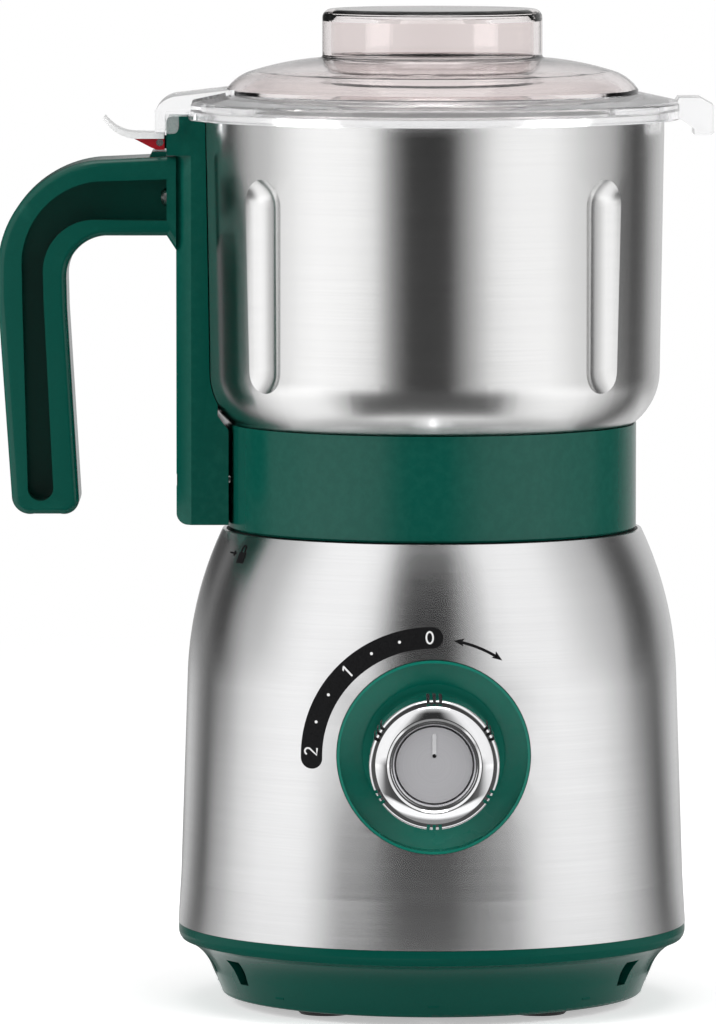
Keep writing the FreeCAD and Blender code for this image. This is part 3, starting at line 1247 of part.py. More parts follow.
# Lid
def lid_ring():
    bead_r = CUP_TOP_R + RIM_BEAD
    under = CUP_RIM_Z + GAP
    ring_body = turned((LID_HOLE_R, under), [
        (SPIGOT_R - SPIGOT_T, under), (SPIGOT_R - SPIGOT_T, SPIGOT_LOW_Z), (SPIGOT_R, SPIGOT_LOW_Z),
        (SPIGOT_R, under), (bead_r + GAP, under), (bead_r + GAP, LID_LOW_Z), (LID_R - 0.4, LID_LOW_Z),
        (LID_R, LID_LOW_Z + 0.4), (LID_R, LID_FACE_Z - 0.8),
        ((LID_R - 0.25, LID_FACE_Z - 0.25), (LID_R - 0.8, LID_FACE_Z)),
        (DOME_SEAT_R + 1.0, LID_FACE_Z + LID_CONE_H), (DOME_SEAT_R, LID_FACE_Z + LID_CONE_H),
        (DOME_SEAT_R, LID_FACE_Z), (LID_HOLE_R, LID_FACE_Z)])
    roof = plate_y((ARM_OUT_X, CHEEK_LOW_Z + 0.4), [
        (ARM_OUT_X, ARM_ROOF_Z + 0.7),
        ((ARM_OUT_X + 2.0, ARM_ROOF_Z + 3.3), (ARM_OUT_X + 5.4, ARM_ROOF_Z + ARM_TOP_FRONT)),
        (-DOME_SEAT_R + 3.0, ARM_ROOF_Z + ARM_TOP_BACK), (-DOME_SEAT_R + 3.0, ARM_ROOF_Z),
        (ARM_OUT_X + ARM_LEG_T, ARM_ROOF_Z), (ARM_OUT_X + ARM_LEG_T, CHEEK_LOW_Z + 0.4)],
        -ARM_HALF, ARM_HALF)
    cheek = plate_y((ARM_OUT_X, CHEEK_LOW_Z + 2.0), [
        (ARM_OUT_X, ARM_ROOF_Z + 1), (CHEEK_X, ARM_ROOF_Z + 1), (CHEEK_X, CHEEK_LOW_Z + 1.6),
        ((CHEEK_X - 0.5, CHEEK_LOW_Z + 0.5), (CHEEK_X - 1.6, CHEEK_LOW_Z)),
        (ARM_OUT_X + 0.5, CHEEK_LOW_Z)], -ARM_HALF, -COLUMN_HALF - GAP)
    far_cheek = cheek.mirror(ORIGIN, Vector(0, 1, 0))
    peg = disc(PIN_ROD_R - 0.2, COLUMN_TOP_Z - 2.3, ARM_ROOF_Z + 1, ROD_X)
    tab = plate_y((TAB_IN_X - 1.2, LID_LOW_Z + 0.4), [
        (TAB_IN_X - 1.2, LID_FACE_Z - 1.0), (TAB_IN_X, TAB_TOP_Z), (TAB_OUT_X - 3.8, TAB_TOP_Z),
        (TAB_OUT_X, TAB_TOP_Z - 2.1), (TAB_OUT_X, TAB_LOW_Z + 0.6), (TAB_OUT_X - 0.6, TAB_LOW_Z),
        (TAB_IN_X + 4.2, TAB_LOW_Z), (TAB_IN_X + 4.2, TAB_LOW_Z + 1.6), (TAB_IN_X + 0.6, TAB_LOW_Z + 4.2)],
        -TAB_HALF, TAB_HALF)
    roof = less(roof, [disc(DOME_SEAT_R, LID_FACE_Z, LID_TOP_Z), disc(DOME_SEAT_R, LID_LOW_Z, under)])
    body = joined([ring_body, roof, cheek, far_cheek, peg, tab])
    low = SPIGOT_LOW_Z - 10
    column_way = block(COLUMN_HEAD_X - 0.4, 5.0 - CUP_TOP_R, -COLUMN_HALF - GAP, COLUMN_HALF + GAP,
                       low, ARM_ROOF_Z)
    column_way = column_way.cut(joined([disc(SPIGOT_R, low, under + 10), peg]))
    cup_way = ring(SPIGOT_R, bead_r + GAP, low, under).cut(
        block(ARM_OUT_X - 1, -bead_r - 0.6, -ARM_HALF - 3, ARM_HALF + 3, low, under))
    return less(body, [column_way, cup_way])


def lid_dome():
    face = LID_FACE_Z
    top = LID_TOP_Z
    t = DOME_T
    foot_r = DOME_FOOT_R
    shoulder_r = DOME_SHOULDER_R
    shoulder_z = DOME_SHOULDER_Z
    crown_r = (shoulder_r + CAP_R) / 2 + 0.6
    crown_z = (shoulder_z + CAP_FOOT_Z) / 2 + 0.5
    return turned((foot_r - t, face), [
        (foot_r, face), (foot_r, DOME_FOOT_Z),
        ((foot_r - 3.1, shoulder_z - 2.0), (shoulder_r, shoulder_z)),
        ((crown_r, crown_z), (CAP_R + 1.2, CAP_FOOT_Z - 0.1)),
        ((CAP_R + 0.3, CAP_FOOT_Z + 0.2), (CAP_R, CAP_FOOT_Z + 1.2)),
        (CAP_R, top - CAP_CORNER), ((CAP_R - 0.73, top - 0.73), (CAP_R - CAP_CORNER, top)), (0, top),
        (0, top - t), (CAP_R - t - 1.0, top - t), (CAP_R - t, top - t - 1.0), (CAP_R - t, CAP_FOOT_Z - t),
        ((crown_r - 0.5, crown_z - t), (shoulder_r - 1.2, shoulder_z - 0.9 * t)),
        ((foot_r - 5.0, shoulder_z - 3.9), (foot_r - t, DOME_FOOT_Z - 1.2))])


def lid_seal():
    low = SPIGOT_LOW_Z + 1.0
    r = SPIGOT_R + FIT
    return turned((r, low), [
        (r + SEAL_T, low + 0.6), (r + SEAL_T, low + 1.4), (r + 0.7, low + 2.0), (r + SEAL_T, low + 2.6),
        (r + SEAL_T, low + 3.4), (r, low + 4.0)])


PIECES = {
    "base_skirt": base_skirt,
    "base_plate": base_plate,
    "rubber_feet": rubber_feet,
    "base_screws": base_screws,
    "housing_shell": housing_shell,
    "tie_rods": tie_rods,
    "top_deck": top_deck,
    "safety_switch": safety_switch,
    "switch_plunger": switch_plunger,
    "upper_bracket": upper_bracket,
    "lower_bracket": lower_bracket,
    "stator_core": stator_core,
    "field_coils": field_coils,
    "stator_bolts": stator_bolts,
    "motor_bearings": motor_bearings,
    "motor_dampers": motor_dampers,
    "motor_screws": motor_screws,
    "brush_holders": brush_holders,
    "carbon_brushes": carbon_brushes,
    "motor_shaft": motor_shaft,
    "armature_core": armature_core,
    "armature_winding": armature_winding,
    "commutator": commutator,
    "cooling_fan": cooling_fan,
    "drive_dog": drive_dog,
    "dial_bezel": dial_bezel,
    "rotary_switch": rotary_switch,
    "knob_spindle": knob_spindle,
    "knob_ring": knob_ring,
    "knob_face": knob_face,
    "knob_pointer": knob_pointer,
    "control_board": control_board,
    "board_parts": board_parts,
    "cord_bush": cord_bush,
    "grinding_cup": grinding_cup,
    "cup_collar": cup_collar,
    "cup_gasket": cup_gasket,
    "blade_bush": blade_bush,
    "blade_bearings": blade_bearings,
    "shaft_seal": shaft_seal,
    "bush_nut": bush_nut,
    "blade_shaft": blade_shaft,
    "lower_blade": lower_blade,
    "upper_blade": upper_blade,
    "blade_spacer": blade_spacer,
    "blade_nut": blade_nut,
    "driven_dog": driven_dog,
    "handle_column": handle_column,
    "handle_grip": handle_grip,
    "column_screws": column_screws,
    "grip_screws": grip_screws,
    "interlock_rod": interlock_rod,
    "rod_spring": rod_spring,
    "latch_lever": latch_lever,
    "latch_pad": latch_pad,
    "latch_pin": latch_pin,
    "lid_ring": lid_ring,
    "lid_dome": lid_dome,
    "lid_seal": lid_seal,
}

os.makedirs("parts", exist_ok=True)
for name, make in PIECES.items():
    shape = make()
    shape.exportStep("parts/" + name + ".step")
    print(name, len(shape.Solids), round(shape.Volume), shape.isValid())
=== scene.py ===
import json
import logging
import math
from dataclasses import dataclass
from enum import Enum
from functools import partial
from typing import Callable, Iterable, Sequence

import bmesh
import bpy
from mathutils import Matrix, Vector
from mathutils.bvhtree import BVHTree


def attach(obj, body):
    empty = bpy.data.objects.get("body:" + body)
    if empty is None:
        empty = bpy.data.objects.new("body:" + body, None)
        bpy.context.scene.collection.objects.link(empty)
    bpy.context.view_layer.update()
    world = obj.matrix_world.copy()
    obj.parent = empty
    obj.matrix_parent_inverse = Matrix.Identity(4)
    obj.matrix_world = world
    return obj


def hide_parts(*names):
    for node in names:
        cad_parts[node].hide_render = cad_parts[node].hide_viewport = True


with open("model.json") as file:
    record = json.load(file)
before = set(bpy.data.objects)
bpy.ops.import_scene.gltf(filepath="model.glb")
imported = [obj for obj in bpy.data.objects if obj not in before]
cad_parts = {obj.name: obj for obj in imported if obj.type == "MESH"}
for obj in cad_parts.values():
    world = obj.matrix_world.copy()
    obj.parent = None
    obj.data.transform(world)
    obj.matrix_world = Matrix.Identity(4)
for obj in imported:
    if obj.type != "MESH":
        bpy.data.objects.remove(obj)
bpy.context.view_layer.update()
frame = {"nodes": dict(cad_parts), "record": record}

LOG = logging.getLogger("grain_mill")
MM = 0.001
DIAL_HEIGHT = 0.0759

Colour = tuple[float, float, float]
Point2 = tuple[float, float]
Loop2 = Sequence[Point2]
Patch = tuple[Loop2, Sequence[Loop2]]
Form = bmesh.types.BMesh
Node = bpy.types.Node
Socket = bpy.types.NodeSocket


# Shader building

# The Mix node has a set of sockets for each kind of data; these are the ones for colours
COLOUR_FIRST = 6
COLOUR_SECOND = 7
COLOUR_OUT = 2


class Graph:
    """Short-hand for adding and linking the nodes of one tree."""

    def __init__(self, tree: bpy.types.NodeTree) -> None:
        """Start on a tree."""
        self.tree = tree

    def add(self, kind: str, **values: object) -> Node:
        """Add a node and set its properties.

        Args:
            kind: The node's type name.
            **values: Properties of the node by name.

        Returns:
            The new node.
        """
        node = self.tree.nodes.new(kind)
        for key, value in values.items():
            setattr(node, key, value)
        return node

    def link(self, source: Socket, target: Socket) -> None:
        """Link one socket to another."""
        self.tree.links.new(source, target)

    def feed(self, value: object, target: Socket) -> None:
        """Give an input its value.

        Args:
            value: A socket to link, or a number or colour to set.
            target: The input.
        """
        if isinstance(value, Socket):
            self.link(value, target)
        else:
            target.default_value = value

    def here(self) -> Socket:
        """Place on the object, in metres."""
        return self.add("ShaderNodeTexCoord").outputs["Object"]

    def split(self, vector: Socket) -> Sequence[Socket]:
        """Take a vector apart.

        Args:
            vector: The vector's socket.

        Returns:
            The sockets of its x, y and z.
        """
        node = self.add("ShaderNodeSeparateXYZ")
        self.link(vector, node.inputs[0])
        return node.outputs

    def join(self, x: object, y: object, z: object) -> Socket:
        """Put a vector together.

        Args:
            x: Number or socket.
            y: Number or socket.
            z: Number or socket.

        Returns:
            The vector.
        """
        node = self.add("ShaderNodeCombineXYZ")
        for index, value in enumerate((x, y, z)):
            self.feed(value, node.inputs[index])
        return node.outputs[0]

    def math(self, operation: str, a: object, b: object = 0.0, clamp: bool = False) -> Socket:
        """Add a Math node.

        Args:
            operation: The operation's name.
            a: First number or socket.
            b: Second number or socket.
            clamp: True to keep the result between 0 and 1.

        Returns:
            The node's value socket.
        """
        node = self.add("ShaderNodeMath", operation=operation, use_clamp=clamp)
        self.feed(a, node.inputs[0])
        self.feed(b, node.inputs[1])
        return node.outputs[0]

    def times(self, a: object, b: object, clamp: bool = False) -> Socket:
        """Multiply two numbers or sockets."""
        return self.math("MULTIPLY", a, b, clamp)

    def spread(self, value: Socket, low: float, high: float, to_low: object = 0.0,
               to_high: object = 1.0) -> Socket:
        """Map a range of values onto another, held at its ends.

        Args:
            value: The socket to map.
            low: Value that becomes to_low.
            high: Value that becomes to_high.
            to_low: Number or socket.
            to_high: Number or socket.

        Returns:
            The mapped value.
        """
        node = self.add("ShaderNodeMapRange", clamp=True)
        self.link(value, node.inputs["Value"])
        for name, item in (("From Min", low), ("From Max", high), ("To Min", to_low), ("To Max", to_high)):
            self.feed(item, node.inputs[name])
        return node.outputs["Result"]

    def noise(self, place: Socket, scale: object, detail: float, rough: float) -> Socket:
        """Add a noise texture.

        Args:
            place: Where it is read.
            scale: Number or socket: how many of its features fit in a metre.
            detail: How many finer layers it has.
            rough: How strong the finer layers are.

        Returns:
            The noise's value.
        """
        node = self.add("ShaderNodeTexNoise")
        for name, item in (("Vector", place), ("Scale", scale), ("Detail", detail), ("Roughness", rough)):
            self.feed(item, node.inputs[name])
        return node.outputs["Fac"]

    def stretched(self, place: Socket, scale: Colour) -> Socket:
        """Scale a place along the axes.

        Args:
            place: The place's socket.
            scale: A factor for each axis.

        Returns:
            The scaled place.
        """
        node = self.add("ShaderNodeVectorMath", operation="MULTIPLY")
        self.link(place, node.inputs[0])
        node.inputs[1].default_value = scale
        return node.outputs["Vector"]

    def blend(self, factor: Socket, first: object, second: object) -> Socket:
        """Mix two colours by a factor.

        Args:
            factor: 0 gives the first colour and 1 the second.
            first: Colour or socket.
            second: Colour or socket.

        Returns:
            The mixed colour.
        """
        node = self.add("ShaderNodeMix", data_type="RGBA")
        self.link(factor, node.inputs[0])
        for index, value in ((COLOUR_FIRST, first), (COLOUR_SECOND, second)):
            self.feed(value if isinstance(value, Socket) else (*value, 1.0), node.inputs[index])
        return node.outputs[COLOUR_OUT]


def fresh_graph(owner: bpy.types.ID) -> Graph:
    """Empty the node tree of a material or world and start on it.

    Args:
        owner: The material or world.

    Returns:
        A graph on its empty tree.
    """
    owner.use_nodes = True
    owner.node_tree.nodes.clear()
    return Graph(owner.node_tree)


class EffectGroup(Graph):
    """A shader group under construction, with its own inputs and outputs at hand."""

    def __init__(self, name: str, inputs: dict[str, float], outputs: Sequence[str]) -> None:
        """Make the group's tree and its sockets, which all carry plain values.

        Args:
            name: The group's name.
            inputs: Default of each input by name.
            outputs: Name of each output.
        """
        super().__init__(bpy.data.node_groups.new(name, "ShaderNodeTree"))
        sockets = self.tree.interface
        for label, value in inputs.items():
            socket = sockets.new_socket(name=label, in_out="INPUT", socket_type="NodeSocketFloat")
            socket.default_value = value
        for label in outputs:
            sockets.new_socket(name=label, in_out="OUTPUT", socket_type="NodeSocketFloat")
        self.entry = self.add("NodeGroupInput")
        self.exit = self.add("NodeGroupOutput")

    def given(self, name: str) -> Socket:
        """Socket of one of the group's inputs."""
        return self.entry.outputs[name]

    def give(self, name: str, value: Socket) -> None:
        """Put a value out under its name."""
        self.link(value, self.exit.inputs[name])


class Effect(Enum):
    """Surface effects that more than one finish shares."""

    BRUSHING = "brushing"
    MOULD_GRAIN = "mould_grain"
    HANDLING = "handling"
    EDGE_WEAR = "edge_wear"
    DUST = "dust"
    DIAL_RADIUS = "dial_radius"


# Features per metre of the slower patterns
BRUSH_LENGTHS = 22.0
MOULD_WAVES = 38.0
FINGER_MARKS = 260.0
EDGE_CHIPS = 420.0
DUST_PATCHES = 90.0
METAL_PATCHES = 120.0


def build_brushing(name: str) -> bpy.types.NodeTree:
    """Fine scratches that run level round the upright axis.

    Args:
        name: The group's name.

    Returns:
        The group, with Lines Per Metre and Depth in, and Height and Mask out.
    """
    graph = EffectGroup(name, {"Lines Per Metre": 2600.0, "Depth": 1.0}, ("Height", "Mask"))
    x, y, z = graph.split(graph.here())
    level = graph.join(graph.times(x, BRUSH_LENGTHS), graph.times(y, BRUSH_LENGTHS),
                       graph.times(z, graph.given("Lines Per Metre")))
    fine = graph.noise(level, 1.0, 4.0, 0.65)
    broad = graph.noise(graph.stretched(level, (0.6, 0.6, 0.12)), 1.0, 2.0, 0.5)
    mixed = graph.math("ADD", graph.times(fine, 0.7), graph.times(broad, 0.3))
    graph.give("Height", graph.times(mixed, graph.given("Depth")))
    graph.give("Mask", graph.spread(mixed, 0.34, 0.66))
    return graph.tree


def build_mould_grain(name: str) -> bpy.types.NodeTree:
    """Very fine pebble left by a moulding tool, with a slow waviness under it.

    Args:
        name: The group's name.

    Returns:
        The group, with Grains Per Metre and Waviness in, and Height and Mask out.
    """
    graph = EffectGroup(name, {"Grains Per Metre": 1500.0, "Waviness": 0.3}, ("Height", "Mask"))
    place = graph.here()
    fine = graph.noise(place, graph.given("Grains Per Metre"), 3.0, 0.6)
    slow = graph.noise(place, MOULD_WAVES, 2.0, 0.45)
    waves = graph.times(slow, graph.given("Waviness"))
    graph.give("Height", graph.math("ADD", graph.times(fine, 0.25), waves))
    graph.give("Mask", graph.spread(fine, 0.3, 0.7))
    return graph.tree


def build_handling(name: str) -> bpy.types.NodeTree:
    """Soft smears and finger marks that change how glossy a surface is.

    Args:
        name: The group's name.

    Returns:
        The group, with Size and Amount in, and Mask out.
    """
    graph = EffectGroup(name, {"Size": 30.0, "Amount": 1.0}, ("Mask",))
    place = graph.here()
    smear = graph.spread(graph.noise(place, graph.given("Size"), 4.0, 0.6), 0.44, 0.72)
    fingers = graph.noise(graph.stretched(place, (1.0, 1.0, 0.45)), FINGER_MARKS, 2.0, 0.4)
    prints = graph.times(graph.spread(fingers, 0.5, 0.8), 0.3)
    both = graph.math("ADD", smear, prints, clamp=True)
    graph.give("Mask", graph.times(both, graph.given("Amount"), clamp=True))
    return graph.tree


def build_edge_wear_and_painted_highlight(name: str) -> bpy.types.NodeTree:
    """Mask of outer edges, where handling has polished or rubbed a surface; on the green plastic it carries
    a painted highlight.

    Args:
        name: The group's name.

    Returns:
        The group, with Low, High and Breakup in, and Mask out.
    """
    graph = EffectGroup(name, {"Low": 0.52, "High": 0.62, "Breakup": 0.5}, ("Mask",))
    sharp = graph.add("ShaderNodeNewGeometry").outputs["Pointiness"]
    width = graph.math("SUBTRACT", graph.given("High"), graph.given("Low"))
    edge = graph.math("DIVIDE", graph.math("SUBTRACT", sharp, graph.given("Low")), width, clamp=True)
    broken = graph.spread(graph.noise(graph.here(), EDGE_CHIPS, 3.0, 0.6), 0.35, 0.6)
    kept = graph.math("SUBTRACT", 1.0, graph.times(graph.given("Breakup"), broken))
    graph.give("Mask", graph.times(edge, kept, clamp=True))
    return graph.tree


def build_dial_radius(name: str) -> bpy.types.NodeTree:
    """Distance in millimetres from the dial's axis, which runs front to back.

    Args:
        name: The group's name.

    Returns:
        The group, with Centre Height in metres in, and Radius out.
    """
    graph = EffectGroup(name, {"Centre Height": DIAL_HEIGHT}, ("Radius",))
    x, _, z = graph.split(graph.here())
    rise = graph.math("SUBTRACT", z, graph.given("Centre Height"))
    square = graph.math("ADD", graph.times(x, x), graph.times(rise, rise))
    graph.give("Radius", graph.times(graph.math("SQRT", square), 1.0 / MM))
    return graph.tree


def build_dust(name: str) -> bpy.types.NodeTree:
    """Mask of a thin dust film on faces that look up.

    Args:
        name: The group's name.

    Returns:
        The group, with Amount in, and Mask out.
    """
    graph = EffectGroup(name, {"Amount": 0.1}, ("Mask",))
    facing = graph.split(graph.add("ShaderNodeNewGeometry").outputs["Normal"])
    up = graph.spread(facing[2], 0.35, 1.0)
    patch = graph.spread(graph.noise(graph.here(), DUST_PATCHES, 5.0, 0.7), 0.4, 0.75, 0.25, 1.0)
    graph.give("Mask", graph.times(graph.times(up, patch), graph.given("Amount"), clamp=True))
    return graph.tree


class EffectLibrary:
    """Builds each shared effect once and places it where a finish wants it."""

    MAKERS: dict[Effect, Callable[[str], bpy.types.NodeTree]] = {
        Effect.BRUSHING: build_brushing,
        Effect.MOULD_GRAIN: build_mould_grain,
        Effect.HANDLING: build_handling,
        Effect.EDGE_WEAR: build_edge_wear_and_painted_highlight,
        Effect.DUST: build_dust,
        Effect.DIAL_RADIUS: build_dial_radius,
    }

    def __init__(self) -> None:
        """Start with no group built."""
        self.trees: dict[Effect, bpy.types.NodeTree] = {}

    def place(self, graph: Graph, effect: Effect, **values: float) -> Node:
        """Put an effect's group into a material.

        Args:
            graph: Graph on the material's tree.
            effect: Which effect.
            **values: Inputs by name, with _ for a space.

        Returns:
            The group node.
        """
        if effect not in self.trees:
            self.trees[effect] = self.MAKERS[effect](effect.value)
        node = graph.add("ShaderNodeGroup")
        node.node_tree = self.trees[effect]
        for key, value in values.items():
            node.inputs[key.replace("_", " ")].default_value = value
        return node


EFFECTS = EffectLibrary()


# Kinds of finish

DUST_COLOUR: Colour = (0.5, 0.49, 0.47)
BLOOM_COLOUR: Colour = (0.42, 0.41, 0.4)
WORN_STEEL: Colour = (0.93, 0.93, 0.92)


@dataclass(frozen=True)
class Finish:
    """A named surface. Subclasses fill in its material."""

    name: str
    colour: Colour
    roughness: float = 0.4

    def build(self) -> bpy.types.Material:
        """Make the material with its Principled BSDF and let the subclass shade it.

        Returns:
            The material.
        """
        material = bpy.data.materials.new(self.name)
        graph = fresh_graph(material)
        shader = graph.add("ShaderNodeBsdfPrincipled")
        shader.inputs["Base Color"].default_value = (*self.colour, 1.0)
        shader.inputs["Roughness"].default_value = self.roughness
        out = graph.add("ShaderNodeOutputMaterial")
        graph.link(shader.outputs[0], out.inputs[0])
        self.shade(graph, shader)
        return material

    def shade(self, graph: Graph, shader: Node) -> None:
        """Add the finish's own nodes.

        Args:
            graph: Graph on the material's tree.
            shader: The Principled BSDF.
        """

    def tinted(self, factor: float, lift: float = 0.0) -> Colour:
        """The finish's colour times a factor, lifted by an even amount."""
        return tuple(min(1.0, channel * factor + lift) for channel in self.colour)

    def roughened(self, graph: Graph, mask: Socket, extra: float) -> Socket:
        """The finish's roughness, with more of it where a mask is 1."""
        return graph.spread(mask, 0.0, 1.0, self.roughness, self.roughness + extra)

    def bump(self, graph: Graph, shader: Node, height: Socket, distance: float,
             strength: float = 1.0) -> None:
        """Feed a height into the shader's normal.

        Args:
            graph: Graph on the material's tree.
            shader: The Principled BSDF.
            height: The height's socket.
            distance: Depth of the relief in metres.
            strength: How much of it shows.
        """
        node = graph.add("ShaderNodeBump")
        node.inputs["Strength"].default_value = strength
        node.inputs["Distance"].default_value = distance
        graph.link(height, node.inputs["Height"])
        graph.link(node.outputs[0], shader.inputs["Normal"])


@dataclass(frozen=True)
class Moulded(Finish):
    """Glossy or satin moulded plastic."""

    grain: float = 1500.0
    relief: float = 0.00002
    # How far edges lighten: wear, and on the green plastic a painted highlight
    wear: float = 0.25
    dust: float = 0.05
    gloss: float = 0.5
    edge: float = 1.18
    edge_lift: float = 0.012
    deep: float = 0.93
    smear_dulls: float = 0.09
    dust_dulls: float = 0.6

    def shade(self, graph: Graph, shader: Node) -> None:
        """Tone, gloss variation, lighter edges (wear, and on the green plastic a painted highlight), dust
        and fine relief.

        Args:
            graph: Graph on the material's tree.
            shader: The Principled BSDF.
        """
        grain = EFFECTS.place(graph, Effect.MOULD_GRAIN, Grains_Per_Metre=self.grain, Waviness=0.3)
        smear = EFFECTS.place(graph, Effect.HANDLING, Size=26.0, Amount=0.8).outputs["Mask"]
        edge_mask = EFFECTS.place(graph, Effect.EDGE_WEAR, Low=0.53, High=0.64, Breakup=0.6).outputs["Mask"]
        dust = EFFECTS.place(graph, Effect.DUST, Amount=self.dust).outputs["Mask"]
        tone = graph.blend(grain.outputs["Mask"], self.tinted(self.deep), self.colour)
        # Lighter edges: wear on most plastics, and a painted highlight along the rims of the green plastic
        edged = graph.blend(graph.times(edge_mask, self.wear), tone, self.tinted(self.edge, self.edge_lift))
        graph.link(graph.blend(dust, edged, DUST_COLOUR), shader.inputs["Base Color"])
        smeared = self.roughened(graph, smear, self.smear_dulls)
        dulled = graph.math("ADD", smeared, graph.times(dust, self.dust_dulls), clamp=True)
        graph.link(dulled, shader.inputs["Roughness"])
        shader.inputs["IOR"].default_value = 1.5
        shader.inputs["Specular IOR Level"].default_value = self.gloss
        self.bump(graph, shader, grain.outputs["Height"], self.relief)


@dataclass(frozen=True)
class Brushed(Finish):
    """Steel sheet with level brushing round the upright axis."""

    lines: float = 3200.0
    relief: float = 0.0000012
    anisotropy: float = 0.8
    smear: float = 0.3
    deep: float = 0.965
    line_gloss: float = 0.02
    smear_dulls: float = 0.03

    def shade(self, graph: Graph, shader: Node) -> None:
        """Level scratches, slow tone changes and handling marks.

        Args:
            graph: Graph on the material's tree.
            shader: The Principled BSDF.
        """
        brush = EFFECTS.place(graph, Effect.BRUSHING, Lines_Per_Metre=self.lines, Depth=1.0)
        smear = EFFECTS.place(graph, Effect.HANDLING, Size=18.0, Amount=self.smear).outputs["Mask"]
        edge_mask = EFFECTS.place(graph, Effect.EDGE_WEAR, Low=0.54, High=0.66, Breakup=0.4).outputs["Mask"]
        tone = graph.blend(brush.outputs["Mask"], self.tinted(self.deep), self.colour)
        graph.link(graph.blend(graph.times(edge_mask, 0.3), tone, WORN_STEEL), shader.inputs["Base Color"])
        lined = graph.spread(brush.outputs["Mask"], 0.0, 1.0, self.roughness + self.line_gloss,
                             self.roughness - self.line_gloss)
        rough = graph.math("ADD", lined, graph.times(smear, self.smear_dulls), clamp=True)
        graph.link(rough, shader.inputs["Roughness"])
        shader.inputs["Metallic"].default_value = 1.0
        shader.inputs["Anisotropic"].default_value = self.anisotropy
        shader.inputs["Anisotropic Rotation"].default_value = 0.25
        tangent = graph.add("ShaderNodeTangent", direction_type="RADIAL", axis="Z")
        graph.link(tangent.outputs[0], shader.inputs["Tangent"])
        self.bump(graph, shader, brush.outputs["Height"], self.relief, 0.6)


@dataclass(frozen=True)
class Polished(Finish):
    """Plated, turned or ground metal."""

    tone: float = 0.94
    smear: float = 0.35
    relief: float = 0.000004
    lines: float = 900.0
    edge: float = 1.12
    smear_dulls: float = 0.1

    def shade(self, graph: Graph, shader: Node) -> None:
        """Slight tone and gloss changes, with brighter edges.

        Args:
            graph: Graph on the material's tree.
            shader: The Principled BSDF.
        """
        grain = EFFECTS.place(graph, Effect.MOULD_GRAIN, Grains_Per_Metre=self.lines, Waviness=0.2)
        smear = EFFECTS.place(graph, Effect.HANDLING, Size=40.0, Amount=self.smear).outputs["Mask"]
        edge_mask = EFFECTS.place(graph, Effect.EDGE_WEAR, Low=0.53, High=0.68, Breakup=0.5).outputs["Mask"]
        tone = graph.blend(grain.outputs["Mask"], self.tinted(self.tone), self.colour)
        edged = graph.blend(graph.times(edge_mask, 0.5), tone, self.tinted(self.edge))
        graph.link(edged, shader.inputs["Base Color"])
        graph.link(self.roughened(graph, smear, self.smear_dulls), shader.inputs["Roughness"])
        shader.inputs["Metallic"].default_value = 1.0
        self.bump(graph, shader, grain.outputs["Height"], self.relief)


@dataclass(frozen=True)
class Spun(Finish):
    """Metal face turned on a lathe, with fine rings about the dial's axis."""

    metal: float = 0.5
    rings: float = 2.2
    deep: float = 0.93
    relief: float = 0.000004
    smear_dulls: float = 0.08

    def shade(self, graph: Graph, shader: Node) -> None:
        """Concentric rings from the distance to the dial's axis.

        Args:
            graph: Graph on the material's tree.
            shader: The Principled BSDF.
        """
        radius = EFFECTS.place(graph, Effect.DIAL_RADIUS).outputs["Radius"]
        along = graph.join(graph.times(radius, self.rings), 0.0, 0.0)
        rings = graph.noise(along, 1.0, 3.0, 0.6)
        smear = EFFECTS.place(graph, Effect.HANDLING, Size=90.0, Amount=0.7).outputs["Mask"]
        tone = graph.blend(graph.spread(rings, 0.3, 0.7), self.tinted(self.deep), self.colour)
        graph.link(tone, shader.inputs["Base Color"])
        graph.link(self.roughened(graph, smear, self.smear_dulls), shader.inputs["Roughness"])
        shader.inputs["Metallic"].default_value = self.metal
        self.bump(graph, shader, rings, self.relief)


@dataclass(frozen=True)
class Clear(Finish):
    """See-through plastic, tinted through its depth by its base colour."""

    smear: float = 0.5
    through: float = 1.0
    bending: float = 1.33
    relief: float = 0.00003
    smear_dulls: float = 0.035

    def shade(self, graph: Graph, shader: Node) -> None:
        """Transmission with faint moulding waves and handling marks.

        Args:
            graph: Graph on the material's tree.
            shader: The Principled BSDF.
        """
        shader.inputs["Transmission Weight"].default_value = self.through
        shader.inputs["IOR"].default_value = self.bending
        smear = EFFECTS.place(graph, Effect.HANDLING, Size=22.0, Amount=self.smear).outputs["Mask"]
        graph.link(self.roughened(graph, smear, self.smear_dulls), shader.inputs["Roughness"])
        grain = EFFECTS.place(graph, Effect.MOULD_GRAIN, Grains_Per_Metre=300.0, Waviness=0.8)
        self.bump(graph, shader, grain.outputs["Height"], self.relief, 0.5)


@dataclass(frozen=True)
class Soft(Finish):
    """Rubber or silicone: matt, with a bloom on its upper faces."""

    bloom: float = 0.15
    deep: float = 0.85
    sheen: float = 0.15
    relief: float = 0.00005
    grain_dulls: float = 0.12

    def shade(self, graph: Graph, shader: Node) -> None:
        """Fine pebble, bloom and a soft sheen.

        Args:
            graph: Graph on the material's tree.
            shader: The Principled BSDF.
        """
        grain = EFFECTS.place(graph, Effect.MOULD_GRAIN, Grains_Per_Metre=2400.0, Waviness=0.25)
        dust = EFFECTS.place(graph, Effect.DUST, Amount=self.bloom).outputs["Mask"]
        tone = graph.blend(grain.outputs["Mask"], self.tinted(self.deep), self.colour)
        graph.link(graph.blend(dust, tone, BLOOM_COLOUR), shader.inputs["Base Color"])
        rough = self.roughened(graph, grain.outputs["Mask"], self.grain_dulls)
        graph.link(rough, shader.inputs["Roughness"])
        shader.inputs["Sheen Weight"].default_value = self.sheen
        self.bump(graph, shader, grain.outputs["Height"], self.relief)


